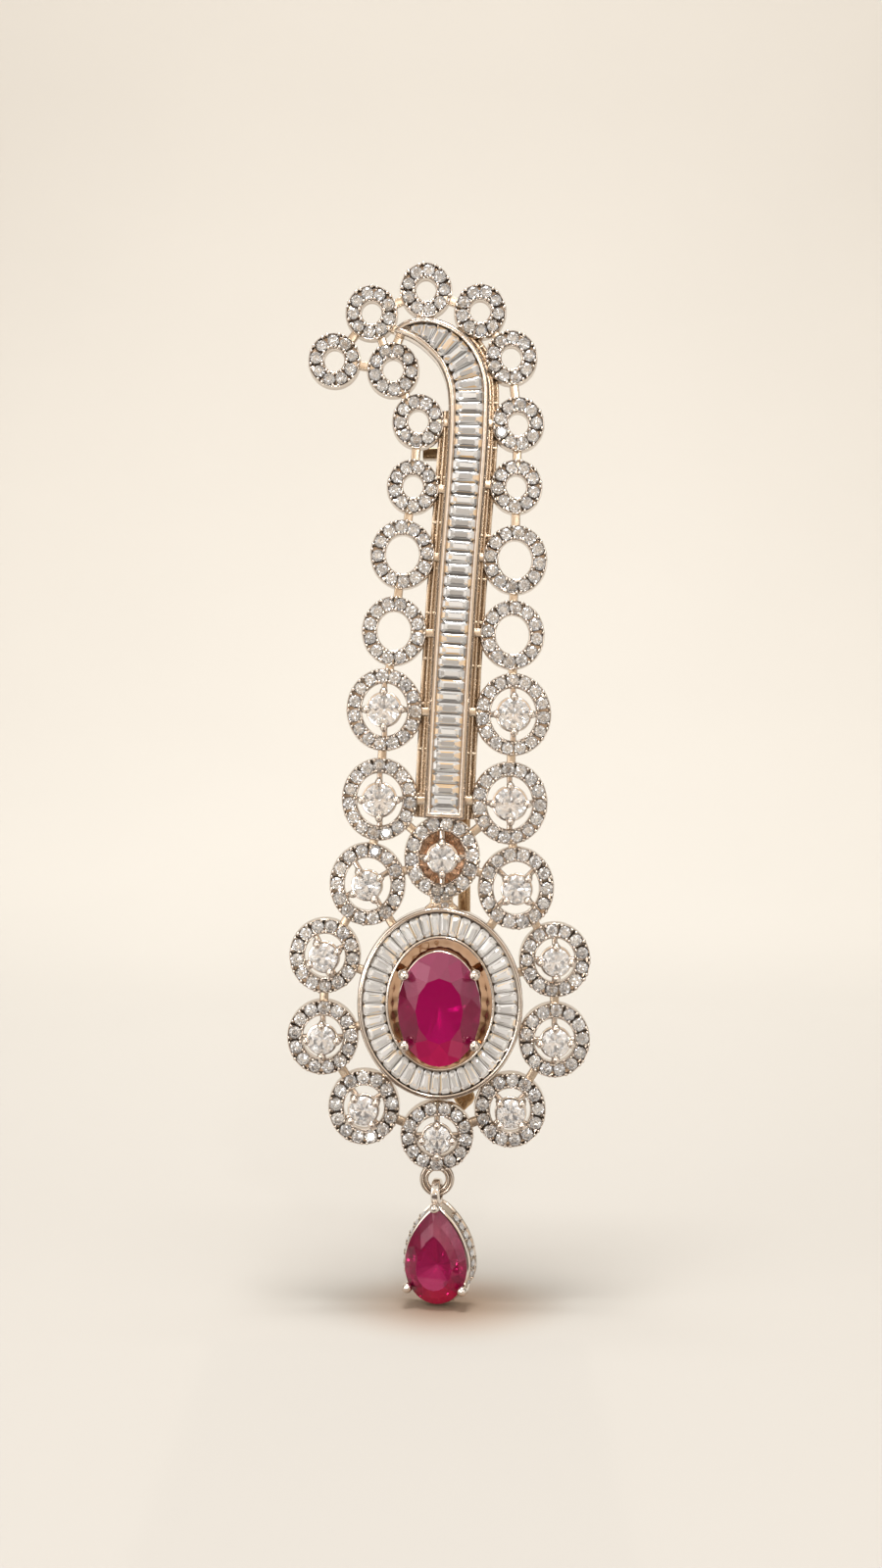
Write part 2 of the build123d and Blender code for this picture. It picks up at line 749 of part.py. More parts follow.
with BuildPart() as feather_baguettes:
    add(feather_stones())
feather_baguettes.part.label = "feather_baguettes"

with BuildPart() as halo_baguettes:
    add(halo_stones())
halo_baguettes.part.label = "halo_baguettes"

with BuildPart() as drop_setting:
    with BuildSketch(drop.offset(pear_level - gallery_seat)):
        pear_face(-gallery_proud)
        pear_face(gallery_wall - gallery_proud, Mode.SUBTRACT)
    extrude(amount=-gallery_depth)
    with BuildSketch(through_bail):
        Circle(bail_hole / 2 + bail_band)
        Circle(bail_hole / 2, mode=Mode.SUBTRACT)
    extrude(amount=bail_width / 2, both=True)
    neck_top, neck_foot = bail_hole / 2 + bail_band / 3, pear_drop + gallery_wall
    with BuildSketch(drop.offset(pear_level - gallery_seat - neck_inset)):
        with Locations((0, -(neck_top + neck_foot) / 2)):
            Rectangle(neck_block, neck_foot - neck_top)
    extrude(amount=-neck_thick)
    drop_claws()
drop_setting.part.label = "drop_setting"

with BuildPart() as ruby_drop:
    add(drop.location * Location((0, 0, pear_level)) * ConvexPolyhedron(pear_stone(), mode=Mode.PRIVATE))
ruby_drop.part.label = "ruby_drop"

os.makedirs("parts", exist_ok=True)
pieces = [frame, turban_pin, ruby_oval, feather_baguettes, halo_baguettes, drop_setting, ruby_drop]
for part in [piece.part for piece in pieces] + solitaire_parts:
    export_step(part, f"parts/{part.label}.step")
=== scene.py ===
"""Looks of a kalgi, a turban ornament of white gold with diamonds and two rubies.

It stands upright as it is worn, with its front towards -Y and +Z up. The classes work in millimetres
on the jewel's own plane, as (across, up, level): a level is a height in front of the jewel's flat back.
One function carries finished surfaces into the frame, in metres.
"""
import logging
from dataclasses import dataclass, field
from enum import Enum, IntEnum
from typing import Any, Iterable, Sequence

import bpy
import numpy as np
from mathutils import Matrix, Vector
from numpy.typing import NDArray


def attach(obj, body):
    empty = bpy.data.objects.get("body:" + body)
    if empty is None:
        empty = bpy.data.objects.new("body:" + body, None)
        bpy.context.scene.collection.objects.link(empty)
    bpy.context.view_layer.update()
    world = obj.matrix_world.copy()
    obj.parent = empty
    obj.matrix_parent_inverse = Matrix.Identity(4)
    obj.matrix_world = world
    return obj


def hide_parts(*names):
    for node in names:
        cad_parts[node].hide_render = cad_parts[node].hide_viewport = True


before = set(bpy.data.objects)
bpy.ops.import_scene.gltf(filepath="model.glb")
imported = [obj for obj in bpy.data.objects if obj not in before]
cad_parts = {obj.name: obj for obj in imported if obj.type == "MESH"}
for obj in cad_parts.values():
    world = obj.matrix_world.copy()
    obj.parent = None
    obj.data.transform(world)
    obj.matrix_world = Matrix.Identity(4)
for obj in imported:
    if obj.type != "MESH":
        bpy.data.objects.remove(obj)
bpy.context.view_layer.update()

Array = NDArray[np.float64]
MM = 0.001
JEWEL, DROP = "jewel", "drop"
FRAME = ("frame",)
JEWEL_PLACE = (-3.1, -5.8, -27.2)
HALO_WIDE, HALO_TALL = 20.56, 23.84
log = logging.getLogger("kalgi")


class Side(Enum):
    """The side of the feather on which a ring or a rail lies."""

    LEFT = -1
    RIGHT = 1


class Slot(Enum):
    """The record's material slots."""

    WHITE_GOLD = "white_gold"
    PIN_GOLD = "pin_gold"
    RUBY = "ruby"
    DIAMOND = "diamond"


class Seed(IntEnum):
    """The seeds of the small irregularities."""

    NECK_STONES = 5
    PAVE_SIZES = 7
    PAVE_STONES = 11
    PAVE_BEADS = 23
    BAGUETTES = 31
    DROP_STONES = 41


@dataclass(frozen=True)
class RingSize:
    """A ring's outline, its band, the diameter of its solitaire and its count of pave stones."""

    wide: float
    rise: float
    band: float
    stone: float
    pave: int

    @property
    def tall(self) -> float:
        """The ring's height."""
        return self.wide * self.rise


class RingKind(Enum):
    """The six ring patterns of the jewel."""

    SMALL = RingSize(6.62, 1.05, 2.07, 0, 9)
    OPEN = RingSize(8.14, 1.08, 2.0, 0, 12)
    BIG = RingSize(9.58, 1.09, 1.95, 4.0, 15)
    HEART = RingSize(9.58, 1.09, 1.95, 3.5, 14)
    ROUND = RingSize(9.0, 1.05, 2.0, 3.5, 13)
    FOOT = RingSize(9.2, 0.965, 2.0, 3.5, 13)


@dataclass
class Shell:
    """One or more closed surfaces: their points, and their faces in arrays of equal corner counts."""

    points: Array
    faces: list[NDArray[np.int64]]

    def outward(self) -> "Shell":
        """The shell with its faces turned outwards.

        Formula: the signed volume is a sixth of the sum, over the triangles of every face, of the
        first corner dotted with the cross product of the other two. Below nought, all faces turn.

        Returns:
            The shell itself, or one with reversed faces.
        """
        volume = 0.0
        centred = self.points - self.points.mean(axis=0)
        for faces in self.faces:
            for k in range(1, faces.shape[1] - 1):
                a, b, c = centred[faces[:, 0]], centred[faces[:, k]], centred[faces[:, k + 1]]
                volume += float(np.einsum("ij,ij->", a, np.cross(b, c))) / 6
        return self if volume >= 0 else Shell(self.points, [faces[:, ::-1] for faces in self.faces])

    def stamped(self, points: Array) -> "Shell":
        """Copies of the shell's faces on other points.

        Args:
            points: The points of each copy, shaped (copies, points, 3).

        Returns:
            One shell that holds every copy.
        """
        count, size = points.shape[:2]
        starts = np.arange(count)[:, None, None] * size
        faces = [(part[None] + starts).reshape(-1, part.shape[1]) for part in self.faces]
        return Shell(points.reshape(-1, 3), faces)


def joined(shells: Iterable[Shell]) -> Shell:
    """Several shells as one.

    Args:
        shells: The shells to join.

    Returns:
        A shell with all their points and faces.
    """
    points, faces, start = [], [], 0
    for shell in shells:
        points.append(shell.points)
        faces += [part + start for part in shell.faces]
        start += len(shell.points)
    return Shell(np.concatenate(points), faces)


def unit(vectors: Array) -> Array:
    """Vectors brought to length one."""
    return vectors / np.linalg.norm(vectors, axis=-1, keepdims=True)


def ray(angle: Array | float) -> Array:
    """The directions (cos, sin) of angles."""
    return np.stack([np.cos(angle), np.sin(angle)], -1)


def turns(count: int) -> Array:
    """Equal steps of angle round a full turn."""
    return np.arange(count) * 2 * np.pi / count


def right_of(way: Array) -> Array:
    """Directions on the right of other ones."""
    return np.stack([way[..., 1], -way[..., 0]], -1)


def lifted(flat: Array, level: Array | float) -> Array:
    """Points of a plane at a level, or each at its own."""
    return np.concatenate([flat, np.broadcast_to(level, flat.shape[:-1])[..., None]], -1)


def tube(loops: Array, ring: bool = False) -> Shell:
    """Closed surfaces through loops of points, one loop for each station of a path.

    Formula: on a grid of stations by loop points, each face joins a point, the next one round its
    loop and the same two of the next station. The path closes on itself, or its ends are closed by
    triangles to the middle of the end loops.

    Args:
        loops: Points shaped (stations, loop, 3) or (copies, stations, loop, 3).
        ring: Whether the last station joins the first.

    Returns:
        The shell, with its faces outwards.
    """
    copies = loops.reshape(-1, *loops.shape[-3:])
    count, rows, cols = copies.shape[:3]
    i, j = np.meshgrid(np.arange(rows if ring else rows - 1), np.arange(cols), indexing="ij")
    ahead, beside = (i + 1) % rows, (j + 1) % cols
    corners = [i * cols + j, i * cols + beside, ahead * cols + beside, ahead * cols + j]
    faces = [np.stack(corners, -1).reshape(-1, 4)]
    flat = copies.reshape(count, rows * cols, 3)
    if not ring:
        size, k = rows * cols, np.arange(cols)
        flat = np.concatenate([flat, copies[:, [0, -1]].mean(axis=2)], axis=1)
        low = np.stack([np.full(cols, size), (k + 1) % cols, k], -1)
        high = np.stack([np.full(cols, size + 1), size - cols + k, size - cols + (k + 1) % cols], -1)
        faces.append(np.concatenate([low, high]))
    first = Shell(flat[0], faces).outward()
    return first.stamped(flat)


def rounded(corners: Sequence[tuple[float, float]], radius: float, steps: int = 3) -> Array:
    """A closed outline with its corners eased.

    Formula: each corner becomes a parabola from the point one radius before it to the point one
    radius after it, or to the middle of the side where that is nearer.

    Args:
        corners: The outline's corners in order.
        radius: How far from a corner its curve starts.
        steps: The points of each curve, less one.

    Returns:
        The outline's points, shaped (points, 2).
    """
    here = np.array(corners, float)
    before, after = np.roll(here, 1, axis=0) - here, np.roll(here, -1, axis=0) - here
    from_size = np.linalg.norm(before, axis=1, keepdims=True)
    to_size = np.linalg.norm(after, axis=1, keepdims=True)
    start = here + before * np.minimum(0.5, radius / from_size)
    end = here + after * np.minimum(0.5, radius / to_size)
    t = np.linspace(0, 1, steps + 1)[None, :, None]
    curve = start[:, None] * (1 - t) ** 2 + here[:, None] * 2 * t * (1 - t) + end[:, None] * t**2
    return curve.reshape(-1, 2)


def slab(left: float, right: float, low: float, high: float, radius: float) -> Array:
    """A rounded box as a section: between two values across and between two levels."""
    return rounded([(left, low), (right, low), (right, high), (left, high)], radius)


def carried(section: Array, at: Array, side: Array) -> Array:
    """A section carried along a path in the jewel's plane.

    Formula: point = path point + side direction times the section's first value, at a level of its
    second value.

    Args:
        section: The section, shaped (points, 2) or (stations, points, 2).
        at: The path, shaped (..., stations, 2).
        side: Unit vectors across the path, of the same shape.

    Returns:
        Loops for tube, shaped (..., stations, points, 3).
    """
    return lifted(at[..., None, :] + side[..., None, :] * section[..., 0:1], section[..., 1])


def bars(starts: Array, ends: Array, section: Array) -> Shell:
    """Straight bars of one section between pairs of points.

    Args:
        starts: Where the bars start, shaped (bars, 2).
        ends: Where they end.
        section: Their section.

    Returns:
        One closed shell for each bar.
    """
    side = right_of(unit(ends - starts))
    return tube(carried(section, np.stack([starts, ends], 1), np.stack([side, side], 1)))


def oval_points(wide: float, tall: float, inset: Array | float, angle: Array) -> tuple[Array, Array]:
    """Points inside an oval's edge and the outward directions there.

    Formula: edge = (wide/2 cos, tall/2 sin). The outward direction is (tall cos, wide sin) brought to
    length one. The point is the edge less that direction times the inset.

    Args:
        wide: The oval's width.
        tall: Its height.
        inset: How far inside the edge, one value or one for each angle.
        angle: Angles in radians.

    Returns:
        The points and the directions, shaped (..., 2).
    """
    way = ray(angle)
    out = unit(way * (tall, wide))
    return way * (wide / 2, tall / 2) - out * np.broadcast_to(inset, np.shape(angle))[..., None], out


def oval_band(centre: tuple[float, float], wide: float, tall: float, section: Array, count: int) -> Shell:
    """A section carried round an oval, its first value the inset from the oval's edge.

    Args:
        centre: The oval's middle.
        wide: Its width.
        tall: Its height.
        section: The section as (inset, level).
        count: The stations round the oval.

    Returns:
        One closed shell.
    """
    edge, out = oval_points(wide, tall, 0.0, turns(count))
    return tube(carried(section, edge + np.array(centre), -out), ring=True)


def reach(wide: Array | float, tall: Array | float, angle: Array | float) -> Array:
    """Half an oval's size in a direction: one over the length of (cos / half width, sin / half height)."""
    return 1 / np.hypot(np.cos(angle) / (wide / 2), np.sin(angle) / (tall / 2))


def ball(centres: Array, radius: Array | float, rows: int = 3, cols: int = 8) -> Shell:
    """Balls at points.

    Formula: a point of a ball is its centre plus its radius times (sin a cos b, sin a sin b, cos a).

    Args:
        centres: The balls' middles, shaped (balls, 3).
        radius: Their radius, or one for each.
        rows: The loops between the poles.
        cols: The points of each loop.

    Returns:
        One closed shell for each ball.
    """
    a = (np.arange(rows) + 0.6) / (rows + 0.2) * np.pi
    loops = lifted(np.sin(a)[:, None, None] * ray(turns(cols)), np.cos(a)[:, None])
    radius = np.broadcast_to(radius, len(centres))[:, None, None, None]
    return tube(centres[:, None, None] + loops * radius)


@dataclass(frozen=True)
class Plane:
    """A plane of the jewel in the frame: its origin, and its turn about the upright axis in degrees."""

    origin: tuple[float, float, float]
    turn: float = 0.0

    def world(self, points: Array) -> Array:
        """Points of the plane in the frame, in metres.

        Formula: turned by an angle about the upright axis, across becomes (cos, sin, 0) and level
        becomes (sin, -cos, 0).

        Args:
            points: Points as (across, up, level) in millimetres.

        Returns:
            The same points as x, y and z in metres.
        """
        c, s = np.cos(np.radians(self.turn)), np.sin(np.radians(self.turn))
        axes = np.array([[c, s, 0], [0, 0, 1], [s, -c, 0]])
        return (points @ axes + np.array(self.origin)) * MM


FLAT = Plane(JEWEL_PLACE)
FRONT = np.array([0.0, 0.0, 1.0])


def srgb(code: str) -> tuple[float, float, float, float]:
    """A colour from its sRGB hex value.

    Args:
        code: Six hex digits after a hash sign.

    Returns:
        The linear colour, opaque.
    """
    values = np.array([int(code[k : k + 2], 16) / 255 for k in (1, 3, 5)])
    linear = np.where(values <= 0.04045, values / 12.92, ((values + 0.055) / 1.055) ** 2.4)
    return (*(float(value) for value in linear), 1.0)


def add_node(tree: bpy.types.NodeTree, kind: str, inputs: dict[Any, Any], **settings: Any) -> Any:
    """Adds a node with its settings, values and links.

    Args:
        tree: The material's node tree.
        kind: The node's type, without the words that all shader nodes start with.
        inputs: For each input's name or number, its value, or the node or output that feeds it.
        settings: The node's own properties.

    Returns:
        The node.
    """
    made = tree.nodes.new("ShaderNode" + kind)
    for name, value in settings.items():
        setattr(made, name, value)
    for key, value in inputs.items():
        if isinstance(value, bpy.types.Node):
            value = next(socket for socket in value.outputs if socket.enabled)
        if isinstance(value, bpy.types.NodeSocket):
            tree.links.new(value, made.inputs[key])
        else:
            made.inputs[key].default_value = value
    return made


def new_material(name: str) -> tuple[bpy.types.Material, bpy.types.NodeTree]:
    """An empty node material.

    Args:
        name: Its name.

    Returns:
        The material and its node tree.
    """
    made = bpy.data.materials.new(name)
    made.use_nodes = True
    made.node_tree.nodes.clear()
    return made, made.node_tree


@dataclass(frozen=True)
class Gold:
    """A gold alloy: its colours, how bright its polish is and the size of its fine marks."""

    name: str
    light: str
    dark: str
    # The colour of the painted shade, towards the back and in the recesses.
    back: str
    roughness: float
    spread: float
    depth_mm: float = 0.004
    # The levels over which the painted shade gives way to the front's tones.
    clear: tuple[float, float] = (0.3, 2.0)
    cloud_mm: float = 6.0
    marks_mm: float = 0.5
    slot: Slot = Slot.WHITE_GOLD

    def material(self) -> bpy.types.Material:
        """The metal with slight changes of tone, of polish and of height.

        The colour turns darker and warmer towards the back, by level: partly the warmer unplated alloy at
        the back, and partly painted shade in the sunk beds and recesses.

        Returns:
            The material.
        """
        made, tree = new_material(self.name)
        at = add_node(tree, "TexCoord", {}).outputs["Object"]
        depth = add_node(tree, "SeparateXYZ", {0: at}).outputs["Y"]
        # Painted shade: darker towards the back, by level, in place of the shade in recesses and between
        # parts.
        low, high = ((JEWEL_PLACE[1] - level) * MM for level in self.clear)
        painted_shade_fade = add_node(
            tree, "MapRange", {"Value": depth, "From Min": low, "From Max": high},
            interpolation_type="SMOOTHSTEP",
        )
        cloud = add_node(tree, "TexNoise", {"Vector": at, "Scale": 1 / (self.cloud_mm * MM), "Detail": 3.0})
        marks = add_node(tree, "TexNoise", {"Vector": at, "Scale": 1 / (self.marks_mm * MM), "Detail": 4.0})
        tone = add_node(tree, "Mix", {0: cloud, 6: srgb(self.dark), 7: srgb(self.light)}, data_type="RGBA")
        tone = add_node(tree, "Mix", {0: painted_shade_fade, 6: srgb(self.back), 7: tone}, data_type="RGBA")
        polish = add_node(
            tree, "MapRange",
            {"Value": marks, "From Min": 0.3, "From Max": 0.7,
             "To Min": self.roughness - self.spread, "To Max": self.roughness + self.spread},
        )
        height = add_node(tree, "Bump", {"Height": marks, "Strength": 0.35, "Distance": self.depth_mm * MM})
        shader = add_node(
            tree, "BsdfPrincipled",
            {"Base Color": tone, "Metallic": 1.0, "Roughness": polish,
             "Normal": height},
        )
        add_node(tree, "OutputMaterial", {"Surface": shader})
        return made


# A facet's direction is rounded to these steps, off the axes by half a step, so that it has one tone.
FACET_STEPS, HALF_STEP = (61, 61, 61), (0.5, 0.5, 0.5)
# Where facets face to take the painted sky reflection or the painted glow, and how squarely until that
# starts and is full.
UPWARDS, DOWNWARDS = (0, -0.6, 0.8), (0, -0.5, -0.87)
LIT_FROM, LIT_FULL = 0.6, 0.85
TABLE_EASE = 0.01
GLOW_THROUGH = 0.2


@dataclass(frozen=True)
class Gem:
    """A cut stone: painted reflections as the tones of its facets, of its table and of its fire, and how it
    passes light.
    """

    name: str
    table: str
    dark: str
    light: str
    fire: str
    through: float
    ior: float
    reflected: str = "#FFFFFF"
    roughness: float = 0.0
    table_share: float = 0.5
    fire_share: float = 0.15
    flat: float = 0.955
    glow: float = 0.0
    sky: str = "#FFFFFF"
    sky_share: float = 0.0
    slot: Slot = Slot.DIAMOND

    def material(self) -> bpy.types.Material:
        """The stone, with painted reflections: a tone for each facet from the direction in which it faces.

        A facet that faces the front, as the table does, keeps a share of the table's tone, and a small share
        of all facets takes a painted glint in the stone's fire colour. The facets in front that face up take
        a painted reflection of the sky over them, and those that face down take a painted glow in the fire
        colour and pass less light.

        Returns:
            The material.
        """
        made, tree = new_material(self.name)
        normal = add_node(tree, "NewGeometry", {}).outputs["True Normal"]
        facing = add_node(
            tree, "VectorTransform", {0: normal},
            vector_type="NORMAL", convert_from="WORLD", convert_to="OBJECT",
        )
        steps = add_node(
            tree, "VectorMath", {0: facing, 1: FACET_STEPS, 2: HALF_STEP}, operation="MULTIPLY_ADD"
        )
        whole = add_node(tree, "VectorMath", {0: steps}, operation="FLOOR")
        # Painted reflections: each facet takes a tone between dark and light, at random by its direction.
        chance = add_node(tree, "TexWhiteNoise", {"Vector": whole})
        other = add_node(tree, "SeparateColor", {0: chance.outputs["Color"]}).outputs[1]
        ahead = add_node(tree, "VectorMath", {0: facing, 1: (0, -1, 0)}, operation="DOT_PRODUCT")
        table = add_node(
            tree, "MapRange",
            {"Value": ahead, "From Min": self.flat, "From Max": self.flat + TABLE_EASE,
             "To Max": self.table_share},
        )
        # Painted glint: a random share of the facets takes the fire colour.
        painted_glint = add_node(tree, "Math", {0: other, 1: self.fire_share}, operation="LESS_THAN")
        tones = [(chance, self.light), (painted_glint, self.fire), (table, self.table)]
        through: Any = self.through
        for way, most, colour in ((UPWARDS, self.sky_share, self.sky), (DOWNWARDS, self.glow, self.fire)):
            if most:
                dot = add_node(tree, "VectorMath", {0: facing, 1: way}, operation="DOT_PRODUCT")
                share = add_node(
                    tree, "MapRange",
                    {"Value": dot, "From Min": LIT_FROM, "From Max": LIT_FULL, "To Max": most},
                )
                tones.append((share, colour))
        if self.glow:
            through = add_node(
                tree, "MapRange",
                {"Value": tones[-1][0], "To Min": self.through, "To Max": self.through * GLOW_THROUGH},
            )
        tone = srgb(self.dark)
        for share, colour in tones:
            tone = add_node(tree, "Mix", {0: share, 6: tone, 7: srgb(colour)}, data_type="RGBA")
        shader = add_node(
            tree, "BsdfPrincipled",
            {"Base Color": tone, "Metallic": 0.0, "Roughness": self.roughness, "IOR": self.ior,
             "Specular Tint": srgb(self.reflected), "Transmission Weight": through},
        )
        add_node(tree, "OutputMaterial", {"Surface": shader})
        return made


class Finish(Enum):
    """The finishes of the jewel, each named for its real material."""

    # Rhodium over a warm alloy: pale, mirror-like edges, with painted shade that turns them brown and deep
    # in the recesses.
    WHITE_GOLD = Gold("White gold, champagne, polished", "#E6DCD2", "#D2C6BA", "#8E7862", 0.13, 0.05)
    # The bare alloy behind the stones: rosy gold inside the two cups, with painted shade darker towards
    # their backs.
    WARM_GOLD = Gold("White gold, unplated, polished", "#DCB898", "#BE9474", "#906850", 0.15, 0.05,
                     depth_mm=0.002, clear=(-0.4, 1.8))
    # The bare alloy as it leaves the file: broad, soft lines of light along gallery and links, with painted
    # shade darker towards the back.
    SOFT_GOLD = Gold("White gold, unplated, satin", "#CEBEAA", "#B4A08A", "#8E785E", 0.26, 0.05,
                     depth_mm=0.001, clear=(-1.0, 1.4))
    # Plated all round, as the drop turns: silvery rails and claws with white points of light.
    BRIGHT_GOLD = Gold("White gold, champagne, bright", "#EAE2DA", "#D8CEC4", "#D8CEC4", 0.12, 0.05)
    # Drawn and tumbled wire: an even yellow sheen with fine marks and no sharp reflection.
    PIN_GOLD = Gold("Pin gold, drawn wire, satin", "#D6BC98", "#C6A680", "#C6A680", 0.28, 0.06,
                    slot=Slot.PIN_GOLD)
    # Tiny round stones: painted reflections, a mosaic of white and grey facets that changes from stone to
    # stone.
    PAVE_CUT = Gem("Diamond, brilliant cut, pave", "#FFFFFF", "#A8ACB6", "#FFFFFF", "#FFFFFF", 0.92, 2.4,
                   table_share=0.3, fire_share=0.25)
    # Larger round stones over open holes: clear and white, lit from behind by the wall.
    BRILLIANT_CUT = Gem("Diamond, brilliant cut", "#FCFDFF", "#F4F8FF", "#FCFDFF", "#FFFFFF", 0.92, 2.0,
                        fire_share=0.25)
    # Baguettes in a row: painted reflections as nested grey and white rectangles, with painted golden strips
    # that stand for the channel's reflection.
    STEP_CUT = Gem("Diamond, step cut", "#FFFFFF", "#6C6A68", "#FFFFFF", "#F6CE98", 0.42, 2.4,
                   table_share=0.3, fire_share=0.16)
    # Tapered baguettes: mostly white, a painted reflection as if each one leans to a light of its own.
    RAY_CUT = Gem("Diamond, tapered step cut", "#FFFFFF", "#A29E98", "#FFFFFF", "#FBE2BE", 0.3, 2.4,
                  table_share=0.55, fire_share=0.12)
    # The smallest stones, beside the pear: painted white glints and grey facets between their beads.
    SINGLE_CUT = Gem("Diamond, single cut", "#FFFFFF", "#C4C8D0", "#FFFFFF", "#FFFFFF", 0.5, 2.4,
                     fire_share=0.2)
    # Glass-like magenta: a deep smooth table, a painted greyer reflection on the crown's upper facets, and a
    # painted bright red glow below.
    RUBY = Gem("Ruby, oval cut", "#AC005A", "#780838", "#981650", "#F02870", 0.5, 1.77, "#E4B0BC",
               table_share=0.94, fire_share=0.0, glow=0.45, sky="#B4708A", sky_share=0.4, slot=Slot.RUBY)
    # The same stone in a plum tone: a painted pale reflection on the V of facets at the point and a painted
    # hot red glow at the foot.
    PEAR_RUBY = Gem("Ruby, pear cut", "#AC1C5C", "#78083A", "#A0144E", "#CC0C48", 0.7, 1.77, "#E4B0BC",
                    table_share=0.8, fire_share=0.0, glow=0.7, sky="#DC7C9C", sky_share=0.64,
                    slot=Slot.RUBY)


@dataclass
class Piece:
    """A piece of the jewel: its surface on a plane, its finish and the frame's nodes for which it stands.

    The crease is the angle between faces, in degrees, past which an edge is sharp. At nought, every
    face is flat.
    """

    name: str
    shell: Shell
    finish: Finish
    replaced: tuple[str, ...] = ()
    crease: float = 38.0
    plane: Plane = FLAT
    body: str = JEWEL

    def build(self, material: bpy.types.Material) -> None:
        """Makes the piece, dresses it and ties it to its body.

        Args:
            material: The material of its finish.
        """
        mesh = bpy.data.meshes.new(self.name)
        faces = [face for part in self.shell.faces for face in part.tolist()]
        mesh.from_pydata(self.plane.world(self.shell.points), [], faces)
        mesh.polygons.foreach_set("use_smooth", np.full(len(faces), self.crease > 0))
        if self.crease > 0:
            mesh.set_sharp_from_angle(angle=float(np.radians(self.crease)))
        mesh.materials.append(material)
        made = bpy.data.objects.new(self.name, mesh)
        bpy.context.scene.collection.objects.link(made)
        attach(made, self.body)
        if self.replaced:
            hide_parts(*self.replaced)
        log.info("%s: %d faces on body %s", self.name, len(faces), self.body)


class Assembly:
    """A sub-assembly: the pieces that it makes, and the frame's own stones that it only dresses."""

    def pieces(self) -> list[Piece]:
        """The pieces, in the order in which they are made."""
        return []

    def dressed(self) -> dict[str, Finish]:
        """The finish of each of the frame's stones, by its node."""
        return {}

    def build(self, materials: dict[Finish, bpy.types.Material]) -> None:
        """Makes the pieces and dresses the stones.

        Args:
            materials: The material of each finish.
        """
        for piece in self.pieces():
            piece.build(materials[piece.finish])
        for node, finish in self.dressed().items():
            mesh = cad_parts[node].data
            mesh.materials.clear()
            mesh.materials.append(materials[finish])


def cubic(points: Sequence[tuple[float, float]], t: Array) -> Array:
    """A cubic curve through two end points, drawn towards the two points between them.

    Args:
        points: The end points, with the two points that draw the curve between them.
        t: Shares of the way, from nought to one.

    Returns:
        The curve's points, shaped (shares, 2).
    """
    p = np.array(points, float)[:, None, :]
    t = t[:, None]
    return p[0] * (1 - t) ** 3 + 3 * p[1] * t * (1 - t) ** 2 + 3 * p[2] * t**2 * (1 - t) + p[3] * t**3


@dataclass
class CentreLine:
    """The feather's centre line: a nearly straight stem and a crook that curls over at the top."""

    foot_rise: float = 22.9
    length: float = 53.1
    lean: float = 3.15
    crook_reach: float = 9.37
    crook_rise: float = 7.35
    side: float = 0.49
    width: float = 5.0
    taper: float = 0.14
    fullness: float = 0.7
    points: Array = field(init=False)
    shares: Array = field(init=False)
    total: float = field(init=False)

    def __post_init__(self) -> None:
        """Works out dense points of both curves and the share of the length at each."""
        knee, knee_side = self.foot_rise + self.length, self.side + self.lean
        stem = [
            (self.side, self.foot_rise),
            (self.side + 0.514 * self.lean, self.foot_rise + 0.695 * self.length),
            (knee_side, knee - 0.207 * self.length),
            (knee_side, knee),
        ]
        crook = [
            (knee_side, knee),
            (knee_side, knee + 0.686 * self.crook_rise),
            (knee_side - 0.583 * self.crook_reach, knee + 1.231 * self.crook_rise),
            (knee_side - self.crook_reach, knee + self.crook_rise),
        ]
        t = np.linspace(0, 1, 1500)
        self.points = np.concatenate([cubic(stem, t), cubic(crook, t)[1:]])
        run = np.linalg.norm(np.diff(self.points, axis=0), axis=1)
        far = np.concatenate([[0], np.cumsum(run)])
        self.total = float(far[-1])
        self.shares = far / self.total

    def at(self, share: Array | float) -> tuple[Array, Array]:
        """Points of the line and the directions to its right.

        Args:
            share: Shares of the line's length.

        Returns:
            The points and the unit vectors, shaped (..., 2).
        """
        share, step = np.asarray(share, float), 0.0008

        def point(s: Array) -> Array:
            """The line's points at shares of its length."""
            return np.stack([np.interp(s, self.shares, self.points[:, k]) for k in (0, 1)], -1)

        along = point(np.minimum(share + step, 1)) - point(np.maximum(share - step, 0))
        return point(share), right_of(unit(along))

    def half_width(self, share: Array | float) -> Array:
        """The feather's half width: full along the stem, and a power of a sine down to the tip."""
        u = np.minimum(1, (1 - np.asarray(share, float)) / self.taper)
        return self.width / 2 * np.sin(np.pi / 2 * u) ** self.fullness

    def beside(self, share: Array | float, offset: Array | float) -> Array:
        """Points beside the line, with positive offsets on its right."""
        point, right = self.at(share)
        return point + right * np.asarray(offset, float)[..., None]

    def last_share(self, inset: float) -> float:
        """The share at which the feather is only as wide as two insets, from the half width's formula."""
        u = np.arcsin((max(inset, 0.0) / (self.width / 2)) ** (1 / self.fullness)) * 2 / np.pi
        return float(1 - self.taper * u)


@dataclass
class Ring:
    """A ring: its name, its middle, its kind and the turn of its solitaire's claws."""

    name: str
    x: float
    z: float
    kind: RingKind
    turn: float

    @property
    def centre(self) -> Array:
        """The ring's middle as an array."""
        return np.array([self.x, self.z])

    def band_point(self, toward: Array) -> Array:
        """The middle of the band on the side of another point.

        Args:
            toward: The other point.

        Returns:
            The point, shaped (2,).
        """
        size = self.kind.value
        angle = np.arctan2(toward[1] - self.z, toward[0] - self.x)
        return self.centre + (reach(size.wide, size.tall, angle) - size.band / 2) * ray(angle)


